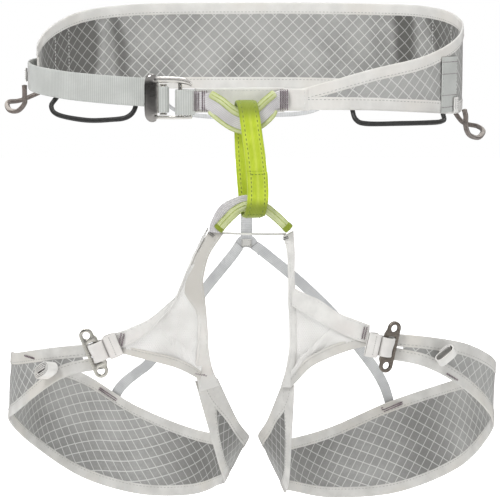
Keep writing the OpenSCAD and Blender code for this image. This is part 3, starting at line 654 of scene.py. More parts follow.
def belt_at(angle, z, grow=0.0):
    """A point on the belt's rounded oval outline, at an angle and a height."""
    a = np.radians(angle)
    power = lambda v: np.sign(v) * np.abs(v) ** (2 / BELT_POWER)
    return np.stack(np.broadcast_arrays((BELT_W / 2 + grow) * power(np.cos(a)),
                                        (BELT_D / 2 + grow) * power(np.sin(a)), z), axis=-1)


def belt_edge(heights):
    h = curve(heights)(np.linspace(0, 1, 121))
    return curve(belt_at(h[:, 0], h[:, 1]))


def from_axis(centre, sideways=(1, 1, 0)):
    """Outward direction from a vertical axis, or from a point."""
    return lambda p: unit((p - np.asarray(centre, float)) * sideways)


def belt_folds(s, w, p):
    """Soft upright folds and a little unevenness in the belt fabric."""
    out = 0.5 * soft_noise(s, w, 46, 30, 3)
    for x, width, depth in BELT_FOLDS:
        out += (p[:, 1] > 20) * depth * np.exp(-((p[:, 0] - x + 0.12 * p[:, 2]) / width) ** 2)
    return out


def pucker(seed, amount=0.12, scale=5.0):
    """The small waves that a row of stitching leaves in a tape."""
    return lambda s, w, p: (amount * soft_noise(s, w, scale, 9, seed, 2)
                            + amount * 1.6 * soft_noise(s, w, 38, 40, seed + 1, 1))


def tape_relief(edge=0.8):
    """Slightly thicker edges, and a shallow groove where the stitching pulls in."""
    def relief(s, w, width):
        near = np.minimum(w, width - w)
        return 0.10 * np.exp(-((near - 0.5 * edge) / edge) ** 2) - 0.10 * np.exp(-((near - 1.9) / 0.7) ** 2)
    return relief


def edge_tape(name, edge, other, width, material, outward, seed, flare=None):
    """Tape folded over a fabric edge, stitched near its inner side; flare widens it along u."""
    def inner(u):
        a = edge(u)
        return a + unit(other(u) - a) * (width if flare is None else width * flare(np.asarray(u, float))[:, None])
    band = Band(edge, inner, 1.6, outward, wave=pucker(seed, 0.16), relief=tape_relief(1.1))
    band.make(name, material, 2.4, 9).sew(sewn[BODY_OF[name], "grey_stitching"], 1.9, 3.0, 2.1, 0.2, 0.82, from_b=True)


around_belt = from_axis((0, 0, 0))
belt_top, belt_bottom = belt_edge(TOP_HEIGHTS), belt_edge(BOTTOM_HEIGHTS)
belt = Band(belt_top, belt_bottom, 0.5, around_belt, inset=(1, 1), wave=belt_folds, calm=13)
belt.make("belt_panel", BELT_CLOTH, 2.6, 30)
edge_tape("belt_top_binding", belt_top, belt_bottom, 9.6, BELT_TAPE, around_belt, 11)
edge_tape("belt_bottom_binding", belt_bottom, belt_top, 9.6, BELT_TAPE, around_belt, 21)
Band(*(curve(belt_at(angle, np.linspace(8, 29, 5))) for angle in (185.2, 181.4)), 1.6, around_belt,
     wave=pucker(31, 0.1)).make("belt_end_binding", BELT_TAPE, 1.5)

# Upright seams in the fabric near both ends of the belt.
edge_u = np.linspace(0, 1, 400)
edge_angles = curve(TOP_HEIGHTS)(edge_u)[:, 0]
for angle in (160.5, 151, 28, 14):
    at = np.interp(np.interp(angle, edge_angles, edge_u), belt.table_u, belt.table_s)
    belt.sew_across(sewn["belt", "white_stitching"], at / belt.length, 9.5, belt.width(np.array([at]))[0] - 9.5, 60,
                    2.6, 1.9, 0.30, 0.35, skins=(1, -1))

side = np.linspace(-33, -21, 7)
side_tape = Band(curve(belt_at(side, 31, 1.3)), curve(belt_at(side, -11, 1.3)), 0.8, around_belt, wave=pucker(41))
side_tape.make("belt_side_tape", STRAP, 1.5, 24)
for from_b in (False, True):
    for offset in (4.0, 13.0):
        side_tape.sew(sewn["belt", "side_tape_stitching"], offset, 1.5, 1.3, 0.26, 0.42, from_b=from_b, skins=(1,))
for share in ROW_SHARES:
    side_tape.sew_across(sewn["belt", "grey_stitching"], share, 1.5, 40, 60, 2.6, 1.8, 0.22, 0.42)

tab_angles = np.linspace(-84.5, -78.6, 8)
front_tab = Band(curve(belt_at(tab_angles, 9.6)), curve(belt_at(tab_angles, -6.6)), 3.0, around_belt,
                 wave=pucker(45), relief=tape_relief(1.4)).make("belt_front_tab", BELT_TAPE, 1.2, 14)
for share in (0.16, 0.84):
    front_tab.sew_across(sewn["belt", "white_stitching"], share, 1.2, 15, 50, 2.4, 1.7, 0.22, 1.5)


# ---------------------------------------------------------------- waist strap and buckle

BUCKLE_Y, BUCKLE_Z, ANCHOR_X, SLIDER_X = -112.0, 1.8, -51.0, -63.3
BUCKLE_LEFT, BUCKLE_TOP, BUCKLE_BASE = -76.0, 18.5, -12.6


def ribbon(points, side, width):
    """The two edge curves of a ribbon whose middle follows the points; its width is a number or a function of u."""
    c = curve(points)
    w = curve(side) if np.ndim(side) == 2 else (lambda u: np.broadcast_to(np.asarray(side, float), (len(u), 3)))
    half = (lambda u: width(u)[:, None] / 2) if callable(width) else (lambda u: width / 2)
    return (lambda u: c(u) + unit(w(u)) * half(u)), (lambda u: c(u) - unit(w(u)) * half(u))


def cords(name, material, *paths):
    """A piece of several cords, each its path, its radius and what else cord() takes."""
    pile = Pile()
    for points, r, more in paths:
        pile.add(*cord(points, r, **more))
    pile.make(name, material)


def buckle_path(*points):
    """From x off the buckle's left end, y off its plane, and heights off its top or its base."""
    return [[BUCKLE_LEFT + x, BUCKLE_Y + y, z] for x, y, z in points]


Band(*ribbon([[-160.2, 47, 18], [-167.4, 24, 17], [-173, 0, 16], [-170, -30, 14.5], [-158, -56, 12.5], [-134, -80, 10],
              [-103, -97, 8], [-75, -105.5, 6.6], [-69, -107, 6.2]], UP, 21), 1.6, around_belt,
     wave=pucker(51, 0.1, 9), relief=tape_relief()).make("waist_strap", STRAP, 2.0, 15)

turn_angles = np.radians(np.linspace(0, 360, 25)[:-1])
turn_ring = curve(np.stack([SLIDER_X + 0.1 + 3.4 * np.cos(turn_angles), BUCKLE_Y + 3.0 * np.sin(turn_angles),
                            np.full(24, BUCKLE_Z)], -1), closed=True)
Band(lambda u: turn_ring(u) + UP * 9.5, lambda u: turn_ring(u) - UP * 9.5, 1.5,
     from_axis((SLIDER_X, BUCKLE_Y, BUCKLE_Z)), closed=True, relief=tape_relief()).make(
         "waist_strap_turn", STRAP, 0.7, 15)

anchor_fold = [[x + ANCHOR_X, y + BUCKLE_Y, BUCKLE_Z - 2] for x, y in (
    (10.5, 2.0), (7.5, 2.7), (4, 3.3), (0.5, 3.3), (-2.2, 2.3), (-3.2, 0), (-2.2, -2.3), (0.5, -3.4), (4, -3.5),
    (7.5, -2.9), (11, -1.9))]
Band(*ribbon(anchor_fold, UP, 18.5), 1.2, from_axis((ANCHOR_X + 3, BUCKLE_Y, 0)),
     relief=tape_relief()).make("buckle_anchor_webbing", STRAP, 0.8, 13)

# A bent end bar, a deep top rail that curves down at its tip, a thin bottom rail and the anchor bar.
top, base = BUCKLE_TOP, BUCKLE_BASE
cords("waist_buckle_frame", BUCKLE,
      (buckle_path((8.2, -0.9, top - 2.0), (5, -1.2, top - 2.6), (4.2, -1.4, top - 6), (4.1, -1.5, top - 15),
                   (4.2, -1.4, base + 6), (5, -1.2, base + 2.6), (8.2, -0.9, base + 1.9)), 5.2,
       dict(n=60, sides=24, r2=1.9, r_at=lambda u: 0.62 + 0.38 * smoothstep(0, 0.2, u) * smoothstep(0, 0.2, 1 - u))),
      (buckle_path((5, -0.4, top - 2.4), (12, -0.3, top - 2.2), (20, -0.2, top - 2.3), (27, -0.2, top - 3.0),
                   (31.5, -0.2, top - 4.6), (34, -0.2, top - 6.6)), 2.3,
       dict(n=50, sides=20, r2=1.7, r_at=lambda u: 1 - 0.5 * smoothstep(0.62, 1.0, u))),
      (buckle_path((5, -0.4, base + 1.5), (14, -0.3, base + 1.3), (25, -0.2, base + 1.3), (34, -0.2, base + 1.6)), 1.35,
       dict(n=40, r2=1.6)),
      ([[ANCHOR_X, BUCKLE_Y, z] for z in (base + 1, 2, top - 2)], 1.45, dict(flat=(1, 0, 0), n=30)))
cords("waist_buckle_slider", BRIGHT,
      ([[SLIDER_X, BUCKLE_Y, BUCKLE_Z + z] for z in (-10.6, 0, 10.6)], 1.45, dict(flat=(1, 0, 0), n=30, sides=18)),
      *(([[SLIDER_X + x, BUCKLE_Y, BUCKLE_Z + z] for x in (-2.8, 0, 2.8)], 0.62, dict(n=20, sides=12, r2=1.5))
        for z in (-10.6, 10.6)))


# ---------------------------------------------------------------- upper tie-in point

bridge = Band(*ribbon([[-40.5, -109.4, 1], [-20, -109.4, 1.2], [5, -109.4, 1.4], [25, -109.4, 1.4]], UP, 18), 1.2,
              FRONT, wave=pucker(61, 0.14), relief=tape_relief(1.2)).make("tie_in_bridge", WHITE_TAPE, 1.8, 15)
for offset in (2.0, 16.0):
    bridge.sew(sewn["belt", "white_stitching"], offset, 2.8, 2.0, 0.2, 0.62)

upper_path = [[-40, -113, 1], [-31, -114.5, 0.5], [-24, -118, -3.5], [-14, -121, -11], [-4, -122.5, -14.5],
              [6, -121, -11], [14, -118, -4], [20, -114.5, 1.5], [28, -113, 2]]
upper_sides = [[lean, 0, 1] for lean in (0, 0, 0.35, 0.25, 0, -0.3, -0.4, 0, 0)]
Band(*ribbon(upper_path, upper_sides, 13), 2.0, FRONT, wave=pucker(71),
     relief=tape_relief(1.0)).make("upper_tie_in_webbing", RIBBED, 1.5, 13)


def sleeve(name, points, r, r2, seams):
    """A fabric sleeve with thin piped seams along it, each at a share of its radius across and forward."""
    phases = np.random.default_rng(len(name)).uniform(0, 6.28, 6)
    lumpy = lambda u: 1 + 0.035 * sum(np.sin((k + 3) * 5.1 * u + ph) for k, ph in enumerate(phases)) / 2
    cords(name, PALE, (points, r, dict(sides=24, r2=r2, r_at=lumpy)))
    c, u = curve(points), np.linspace(0.02, 0.98, 14)
    across = unit(np.cross(unit(c(u + 0.01) - c(u - 0.01)), BACK))
    for shift, depth in seams:
        path = c(u) + across * shift * r + FRONT * depth * r2
        sewn[BODY_OF[name], "guard_piping"].add(*cord(path, 0.32, n=80, sides=8)[:2])


for name, edge, r, r2, seams in (
        ("upper_tie_in_top_guard", 6.2, 2.9, 2.1, ((0.86, 0.55), (-0.86, 0.55), (0.1, 1.0))),
        ("upper_tie_in_bottom_guard", -6.9, 1.5, 1.7, ((0.8, 0.6), (-0.8, 0.6)))):
    u = np.linspace(0.15, 0.85, 7)
    sleeve(name, curve(upper_path)(u) + unit(curve(upper_sides)(u)) * edge, r, r2, seams)


# ---------------------------------------------------------------- bar tacks

def tack(pile, at, width, height, angle=0.0, depth=3.0, turned_by=0.0, columns=1, r=0.24, skins=(-1, 1)):
    """A block of dense stitching: columns of short threads across it, on the front and the back."""
    rot = np.array(turn("Z", turned_by) @ turn("Y", angle))[:3, :3]
    draw = np.random.default_rng(int(abs(at[0]) * 10 + abs(at[2])))
    long, short = max(width, height), min(width, height)
    order = [0, 1, 2] if width >= height else [2, 1, 0]
    count = max(3, int(long / 0.85))
    for skin in skins:
        for c in range(columns):
            for k in range(count):
                p = np.array([(k + 0.5) / count * long - long / 2, skin * depth / 2,
                              (c + 0.5) / columns * short - short / 2])[order]
                d = np.array([0.35 * (-1) ** k, 0, 1.0])[order] + draw.normal(0, 0.06, 3) * [1, 0, 1]
                pile.add(*capsule(np.array(at) + rot @ p, rot @ d, rot @ np.array([0, skin, 0]),
                                  short / columns * 0.8, r))


def tacks(name, *blocks):
    pile = Pile()
    for at, width, height, more in blocks:
        tack(pile, at, width, height, **more)
    pile.make(name, THREAD)


tacks("waist_bar_tacks", ([-39.6, -111.4, 0.8], 5.6, 14.5, dict(depth=7.0, columns=4)),
      ([-33.2, -111.4, 0.8], 4.6, 15.5, dict(depth=7.4, columns=3, r=0.3)),
      ([24.8, -111.4, 1.6], 6.4, 15.4, dict(depth=7.0, columns=4, r=0.3)))


# ---------------------------------------------------------------- belay loop

BELAY_Y, HALF = -123, 10.0
belay_ring = curve([[x, BELAY_Y + HALF * y, z] for x, y, z in (
    (-3, 0, 0.9), (-1, -0.75, -4.6), (1.5, -1, -22), (4.5, -1, -45), (5.5, -0.95, -68), (3, -0.55, -80.6),
    (1, 0.35, -81.5), (-1, 0.9, -70), (-3, 1, -45), (-4, 0.95, -22), (-4, 0.75, -4.6))], closed=True)
belay_side = unit([1, 0.12, 0]) * 7.5
belay_out = from_axis((1, BELAY_Y, -40), (0, 1, 0.25))
overlap = part_of(belay_ring, 0.288, 0.456)


def crown(depth):
    return lambda s, w, width: depth * (1 - (2 * w / width - 1) ** 2) - depth * 0.5


loop = Band(lambda u: belay_ring(u) - belay_side, lambda u: belay_ring(u) + belay_side, 2.4, belay_out, closed=True,
            relief=crown(0.3)).make("belay_loop", LIME, 1.3, 19)
patch = Band(lambda u: overlap(u) - belay_side * 0.97, lambda u: overlap(u) + belay_side * 1.03, 1.1, belay_out,
             lift=1.65, relief=crown(0.2), wave=pucker(81, 0.1)).make("belay_loop_overlap", LIME, 1.3, 17)
green = sewn["belay", "loop_stitching"]
for offset in (2.6, 12.4):
    loop.sew(green, offset, 3.3, 2.2, 0.30, 1.22)
for offset in (2.6, 12.4):
    patch.sew(green, offset, 3.1, 2.2, 0.32, 0.6, skins=(1,))
for share in ROW_SHARES:
    patch.sew_across(green, share, 2.6, 12.4, 40, 2.4, 1.8, 0.32, 0.6)


# ---------------------------------------------------------------- lower tie-in point

lower_outer = curve([[-30, -119, -95], [-29, -119.5, -88], [-22.5, -121, -76], [-13, -122.5, -69.8], [-3, -123, -67.2],
                     [6, -123, -69.6], [16, -122, -76.6], [25, -120, -85.2], [30, -119, -93]])
lower_inner = curve([[-21.5, -119, -95.6], [-20.6, -119.5, -91], [-15.4, -121, -82.4], [-9, -122.5, -77.2],
                     [-2, -123, -75.2], [5.5, -123, -76], [12.6, -122, -80.6], [20.6, -120, -88.6],
                     [26.4, -119, -95.4]])
Band(lower_outer, lower_inner, 1.6, FRONT, wave=pucker(91), relief=tape_relief()).make(
    "lower_tie_in_webbing", RIBBED, 1.4, 11)
guard_path = np.array([[-22.6, -120.5, -91.8], [-16, -121.5, -84.4], [-8, -122.8, -77.2], [1, -123, -74.6],
                       [9, -122.8, -75.6], [18.5, -121.5, -82.6], [27.6, -120.5, -91.4]])
sleeve("lower_tie_in_guard", guard_path, 3.6, 2.4, ((0.9, 0.45), (-0.9, 0.45), (0.25, 0.98)))
for name, p, q in (("lower_guard_left_end", guard_path[0], guard_path[1]),
                   ("lower_guard_right_end", guard_path[6], guard_path[5])):
    cords(name, LIME, ([p + (q - p) * -0.16, p, p + (q - p) * 0.2], 3.9, dict(
        n=26, sides=28, r2=2.8, r_at=lambda u: 0.94 + 0.06 * np.sin(np.pi * u) + 0.02 * np.sin(40 * u))))
Band(*ribbon([[-23.5, -114.6, -96.3], [-8, -114.4, -96.8], [10, -114.4, -97.2], [26.5, -114.6, -97]], UP, 1.6), 0.8,
     FRONT, wave=pucker(95, 0.08)).make("tie_in_cross_strap", WHITE_TAPE, 1.4)


# ---------------------------------------------------------------- equipment loops

# Each moulded or covered loop: its radius, the way its flat side faces, its material and its path.
LOOPS = {
    "front_gear_loop_left": (1.9, (0.6, 0.8, 0), BLACK, [
        [-144, -61, 8], [-146, -62.4, 1], [-150, -66.5, -6], [-144, -74, -12], [-122, -88, -15],
        [-103, -97, -14], [-91, -100.2, -12], [-85, -99.6, -6], [-84, -98, 4]]),
    "front_gear_loop_right": (1.9, (-0.6, 0.8, 0), BLACK, [
        [75, -98.8, 2], [75.5, -99, -6], [78, -103, -13.5], [86, -103.5, -16.5], [112, -94, -17], [138, -77, -17.5],
        [145, -69, -17], [147.3, -61, -16], [146.8, -56, -12], [146.3, -54, -4]]),
    "side_gear_loop_left": (2.1, (-0.55, 0.2, 0.8), BROWN, [
        [-177.5, -4, 7], [-177.5, -4, -2], [-178, -2, -8], [-184, 3, -14], [-192, 14, -14], [-195, 30, -9],
        [-186, 46, -8], [-166, 66, 0], [-146, 76, 6]]),
    "side_gear_loop_right": (2.1, (0.55, 0.2, 0.8), BROWN, [
        [164.5, -43, -10], [166, -41, -16], [166.5, -36, -23], [171, -23, -31], [180, -6, -34.5], [186, 12, -31],
        [184, 32, -28.5], [173, 49, -25.5], [161.5, 52, -8]])}
for seed, (name, (r, flat, material, path)) in enumerate(LOOPS.items(), 1):
    phase = np.random.default_rng(seed).uniform(0, 6.28, 3)
    cords(name, material, (path, r * 0.98, dict(flat=flat, n=170, sides=22, r2=r * 0.9, r_at=lambda u: (
        1 + 0.08 * (np.exp(-(u / 0.03) ** 2) + np.exp(-((1 - u) / 0.03) ** 2))
        + 0.02 * np.sin(23 * u + phase[0]) + 0.015 * np.sin(57 * u + phase[1])))))

straight = lambda p, q: (lambda u: np.asarray(p) + (np.asarray(q) - np.asarray(p)) * np.asarray(u, float)[:, None])
for name, corners in (("side_loop_tab_left", ([-176, 1, 20], [-176, -6, 20], [-176, 1, 9.5], [-176, -6, 9.5])),
                      ("side_loop_tab_right", [belt_at(a, z, 2.4) for z in (0, -11.5) for a in (-25, -21)])):
    tab = Band(straight(*corners[:2]), straight(*corners[2:]), 1.4, around_belt, relief=tape_relief())
    tab.make(name, WHITE_TAPE, 0.7, 14)
    for share in (0.25, 0.75):
        tab.sew_across(sewn["belt", "black_stitching"], share, 1.2, 9.0, 20, 1.5, 1.1, 0.2, 0.72)

Band(*ribbon([[-76, 115.5, 2], [-74, 117, -8], [-67, 118, -19], [-50, 118.5, -25], [-20, 119.5, -27],
              [10, 119.5, -25.5], [42, 118.5, -24], [60, 118, -19], [69, 117, -9], [72, 115.5, 2]],
             [0, 1, 0.75], 5), 1.2, -UP, wave=pucker(101, 0.1), relief=tape_relief(0.6)).make(
                 "haul_loop", ELASTIC, 1.6, 9)


# ---------------------------------------------------------------- straps behind the legs

Band(*ribbon([[-3, 112.3, 8], [-3, 112.3, -6], [-3, 110.8, -30], [-3, 105, -80], [-3, 99.5, -132]], [1, 0, 0], 10), 1,
     BACK, wave=pucker(111), relief=tape_relief()).make("riser_strap", ELASTIC, 1.8, 11)
Band(*ribbon([[-13.5, 95, -138], [-9, 95, -132.5], [-3, 95, -130.5], [3, 95, -132.5], [7.5, 95, -138]], UP, 11), 1.2,
     FRONT, wave=pucker(115), relief=tape_relief()).make("riser_joint", ELASTIC, 1.0, 13)
box_patch = Band(*ribbon([[-7.2, 94.0, -132.2], [-3, 93.9, -131.8], [1.2, 94.0, -132.2]], UP, 6.4), 1.0, FRONT,
                 relief=tape_relief(0.7)).make("riser_joint_patch", GREY_TAPE, 0.9, 9, on=("leg_yoke", "elastic"))
box_stitches, box_thread = Pile(), (1.5, 1.2, 0.22, 0.55)
for offset in (0.9, 5.5):
    box_patch.sew(box_stitches, offset, *box_thread, skins=(1,))
for share in (0.1, 0.9):
    box_patch.sew_across(box_stitches, share, 0.9, 5.5, 20, *box_thread)
box_stitches.make("riser_joint_stitching", GREY_THREAD, ("leg_yoke", "elastic"))

BRANCHES = {
    "left": [[-9, 93, -134], [-16, 93.5, -144], [-39, 95, -173], [-62, 95, -205], [-85, 92, -234],
             [-96, 90, -243], [-106, 87, -250.5], [-113, 85, -258.5], [-115, 84.4, -263.5]],
    "right": [[4, 93, -134], [13, 93.5, -141], [45, 95, -168], [74, 95, -197], [93, 92, -222],
              [106, 88, -239], [114, 86, -253], [118.5, 85, -266], [119.5, 84.8, -273]]}
for side, lean, seed in (("left", -0.64, 121), ("right", 0.64, 131)):
    path = BRANCHES[side]
    Band(*ribbon(path, [0.77, 0, lean], 9), 0.9, FRONT, wave=pucker(seed), relief=tape_relief(0.7)).make(
        "riser_branch_" + side, ELASTIC, 1.8, 11,
        bend=("leg_yoke", side + "_leg", Vector(path[0]) * MM, Vector(path[-1]) * MM))


# ---------------------------------------------------------------- leg loops

LEG_TOP = {
    "left": curve([[-112, -94, -182.5], [-149, -83, -188], [-180, -52, -198], [-189.5, -5, -207], [-177, 47, -222],
                   [-141, 75, -241], [-98, 82, -270], [-50, 73, -288], [-12, 38, -287], [-1, -6, -276],
                   [-10, -46, -253], [-25, -68, -215]]),
    "right": curve([[101, -95.5, -174.4], [137, -89, -179], [168, -72, -188], [193, -34, -208], [190, 20, -228],
                    [165, 62, -246], [118, 81, -267], [66, 77, -289], [22, 40, -291], [7, -14, -274],
                    [14, -48, -252], [25, -64, -220]])}
LEG_BOTTOM = {
    "left": curve([[-109, -94.5, -201.8], [-143, -86, -211.5], [-181, -54, -244], [-193, -8, -264], [-178, 47, -299],
                   [-142, 75, -332], [-95, 82, -348], [-50, 73, -346], [-26, 38, -328], [-21, -6, -313],
                   [-25, -44, -288], [-42, -79, -215]]),
    "right": curve([[99, -96, -193.6], [132, -90.5, -201.5], [162, -78, -220], [188, -46, -249], [195, 8, -278],
                    [175, 55, -318], [126, 80, -346], [70, 78, -350], [33, 42, -334], [29, -14, -320],
                    [31, -52, -296], [34, -80, -218]])}
STRAP_INNER = {
    "left": [[-20, -116.8, -97], [-30, -113, -113], [-34.5, -109, -131], [-34.4, -107, -138], [-33.4, -104.6, -148],
             [-32.4, -102, -159], [-31.6, -98, -172], [-31, -92, -188], [-28.5, -81, -205], [-23.5, -67, -220]],
    "right": [[24, -116.8, -98], [27, -115, -110], [28, -110, -130], [28, -105, -149], [29, -98, -168],
              [29, -91, -188], [27, -81, -206], [24, -67, -222]]}
STRAP_OUTER = {
    "left": [[-29, -116.8, -92], [-40, -113, -112], [-48.6, -108.4, -131], [-51.2, -106.8, -138],
             [-45.4, -104.6, -148.5], [-39.8, -102.4, -157.5], [-39, -99, -171], [-39.8, -93, -187],
             [-41.5, -86, -203], [-39.5, -77, -223]],
    "right": [[32, -116.8, -94], [33, -114.5, -110], [33, -109, -130], [34, -103, -149], [35, -96, -168],
              [35, -89, -188], [34, -83, -206], [32, -79, -220]]}
BRACE_TOP = {
    "left": [[-30, -116, -92], [-40, -112.5, -113], [-51, -107, -139], [-64, -103, -153], [-76, -100, -163],
             [-92, -97, -171], [-103.5, -96.5, -175]],
    "right": [[31, -108, -137], [42, -106.5, -143], [52, -104, -148], [66, -101, -158], [80, -99, -164],
              [90, -98, -168]]}
BRACE_LOW = {
    "left": [[-34, -115, -101], [-46, -112, -124], [-58, -106.5, -151], [-69, -103, -165], [-79, -100, -175.5],
             [-93, -97, -184], [-101.5, -96.5, -187]],
    "right": [[31, -105, -152], [42, -104.5, -159], [52, -102.5, -165], [66, -100.5, -173], [79, -99, -179],
              [89, -98, -182]]}
MESH_LOW = {"left": [[-101, -95.2, -189], [-82, -96, -194], [-58, -93, -201], [-45, -88, -208], [-38, -84.5, -213]],
            "right": [[90, -96.6, -184], [76, -98, -187], [60, -97.5, -193], [46, -94, -201], [36, -88, -213],
                      [31, -84.5, -219]]}
MESH_UP = {"left": [[-100, -95.2, -182.5], [-83, -96, -187], [-59, -94, -193], [-45, -89.5, -200], [-37, -86, -206]],
           "right": [[88, -96.6, -176.5], [74, -98, -179], [58, -98, -185], [43, -95, -194], [36, -89, -204],
                     [31, -85.5, -211]]}
LEG_CENTRE = {"left": (-95, 0, 0), "right": (100, 0, 0)}
MESH_START = {"left": (0.18, 0.12), "right": (0.1, 0.45)}
# How the cloth was cut: the turn of its weave in degrees at distances along the loop from the buckle.
WEAVE = {"left": [(0, 5), (130, 8), (200, 18), (250, 15), (300, 9), (360, 4), (700, 0)], "right": [(0, 0), (900, 20)]}


def leg_folds(side):
    """Long soft waves of a light fabric band, with a few diagonal creases and, on the left, a deeper fold behind."""
    seed = 200 + len(side)

    def wave(s, w, p):
        out = 0.9 * soft_noise(s, w, 60, 42, seed, 2)
        crease = np.sin((s + 1.3 * w) / 17.0 + 2.0 * soft_noise(s, w, 90, 60, seed + 10, 1))
        out = out + 0.5 * crease * soft_noise(s, w, 70, 50, seed + 20, 1)
        if side == "left":
            (x, y, z), behind = p.T, p[:, 1] > 30
            along, off = x + 112 - 0.55 * (z + 272), 0.55 * (x + 112) + z + 272
            out = out - 2.6 * np.exp(-(along / 16) ** 2 - (off / 5) ** 2) * behind
            out = out + 2.2 * np.exp(-((x + 128) / 9) ** 2 - ((z + 300) / 26) ** 2) * behind
        return out
    return wave


def turned_weave(turns):
    """Lays the weave flat with its grid turned by the given degrees at the given distances along the band."""
    at, angle = np.array(turns, float).T
    s = np.arange(0.0, 1200.0)
    a = np.radians(np.interp(s, at, angle))
    flat_x, flat_y = np.cumsum(np.cos(a)), np.cumsum(np.sin(a))

    def flat(verts, uv):
        a = np.radians(np.interp(uv[:, 0], at, angle))
        x, y = np.interp(uv[:, 0], s, flat_x), np.interp(uv[:, 0], s, flat_y)
        return np.stack([x + uv[:, 1] * np.sin(a), uv[:, 1] * np.cos(a) - y], -1)
    return flat


def middle_of(a, b, back=1):
    return curve(((np.asarray(a, float) + np.asarray(b, float)) / 2)[::back])


def leg_loop(side, seed):
    """The fabric band of a leg loop with its bindings, and the strap, brace and mesh that close it at the front."""
    body, outward = side + "_leg", from_axis(LEG_CENTRE[side])
    white = sewn[body, "white_stitching"]
    top, low = LEG_TOP[side], LEG_BOTTOM[side]
    Band(part_of(top, 0.04, 0.998), part_of(low, 0.04, 0.998), 0.5, outward, inset=(1, 1), wave=leg_folds(side),
         calm=12).make("leg_panel_" + side, LEG_CLOTH[side], 3.0, 26, turned_weave(WEAVE[side]))
    widen = lambda u: 1 + 0.55 * smoothstep(0.925, 1.0, u)
    edge_tape("leg_top_binding_" + side, top, low, 9.5, GREY_TAPE, outward, seed, widen)
    edge_tape("leg_bottom_binding_" + side, low, top, 9.5, GREY_TAPE, outward, seed + 10, widen)

    Band(curve(MESH_UP[side]), curve(MESH_LOW[side]), 1.2, outward, wave=pucker(seed + 20, 0.1),
         relief=tape_relief()).make("leg_mesh_binding_" + side, GREY_TAPE, 1.8, 9).sew(
             sewn[body, "grey_stitching"], 1.8, 2.6, 1.9, 0.2, 0.62)
    brace = Band(curve(BRACE_TOP[side]), curve(BRACE_LOW[side]), 1.4, outward, wave=pucker(seed + 30, 0.42, 6.5),
                 relief=tape_relief(1.0)).make("leg_brace_" + side, WHITE_TAPE, 1.8, 13)
    for from_b in (False, True):
        brace.sew(white, 1.8, 2.4, 1.8, 0.22, 0.72, from_b=from_b)
    rise = pucker(seed + 40, 0.3, 8)
    strap = Band(curve(STRAP_OUTER[side]), curve(STRAP_INNER[side]), 1.5, outward, relief=tape_relief(1.0),
                 wave=lambda s, w, p: 0.7 * smoothstep(20, 50, s) + rise(s, w, p))
    strap.make("leg_front_strap_" + side, WARM_TAPE if side == "left" else LEG_TAPE, 1.8, 11)
    for from_b in (False, True):
        strap.sew(white, 1.6, 2.4, 1.8, 0.22, 0.78, from_b=from_b, trim=(3, 2))

    strap_mid, low_mid = middle_of(STRAP_OUTER[side], STRAP_INNER[side]), middle_of(MESH_LOW[side], MESH_UP[side], -1)
    brace_from, strap_from = MESH_START[side]
    bend = 0.55

    def mesh_edge(u):
        """Down the front strap and then along the lower binding."""
        v = 0.02 + 0.96 * np.asarray(u, float)
        down = strap_mid(strap_from + (0.83 - strap_from) * np.minimum(v / bend, 1))
        return np.where((v < bend)[:, None], down, low_mid((v - bend) / (1 - bend)))

    Band(part_of(middle_of(BRACE_TOP[side], BRACE_LOW[side]), brace_from, 0.97), mesh_edge, 0.6, outward, calm=5,
         wave=lambda s, w, p: 1.1 * soft_noise(s, w, 20, 16, seed + 50)).make(
             "leg_mesh_" + side, MESH, 1.6, 26, lambda verts, uv: verts[:, [0, 2]])


leg_loop("left", 300)
leg_loop("right", 400)


# ---------------------------------------------------------------- leg buckles

EYE_PITCH, EYE_R, PLATE_R, PLATE_T, RAIL_X = 29.0, 2.8, 5.4, 2.4, 5.2
FOLD = [[20.5, 0.3], [17.5, 1.8], [14.2, 2.9], [11.6, 2.6], [10.0, 0.9], [8.4, 2.7], [5.2, 4.2], [1.2, 3.5],
        [-1.2, 1.8], [-1.8, 0], [-1.2, -1.8], [1.2, -3.6], [5.2, -4.4], [8.4, -2.9], [10.0, -0.9], [11.6, -2.8],
        [14.2, -3.2], [17.5, -2.4], [20.5, -1.2]]


def slot_outline(x0, x1, half, r):
    """A rounded slot, going clockwise."""
    corners = ((x1 - r, half - r, 90), (x1 - r, -half + r, 0), (x0 + r, -half + r, -90), (x0 + r, half - r, 180))
    return [point for cx, cy, start in corners for point in arc(cx, cy, r, start, start - 90, 6)]


def buckle_shape():
    """A plate with a rounded eye at each end, a wider rail on one side and a slot for the webbing."""
    half = EYE_PITCH / 2
    outside = arc(0, half, PLATE_R, 0, 180, 20) + arc(0, -half, PLATE_R, 180, 360, 20)
    outside += [(PLATE_R, -half + 1.5), (PLATE_R + 0.9, -half + 3.2), (RAIL_X + 1.6, -half + 4.6),
                (RAIL_X + 1.6, half - 4.6), (PLATE_R + 0.9, half - 3.2), (PLATE_R, half - 1.5)]
    eyes = [arc(0, s * half, EYE_R, 360, 0, 24)[:-1] for s in (-1, 1)]
    slot = slot_outline(-2.6, RAIL_X - 1.6, (EYE_PITCH - 2 * PLATE_R - 1.6) / 2, 1.6)
    return plate([outside] + eyes + [slot], PLATE_T, 0.6)


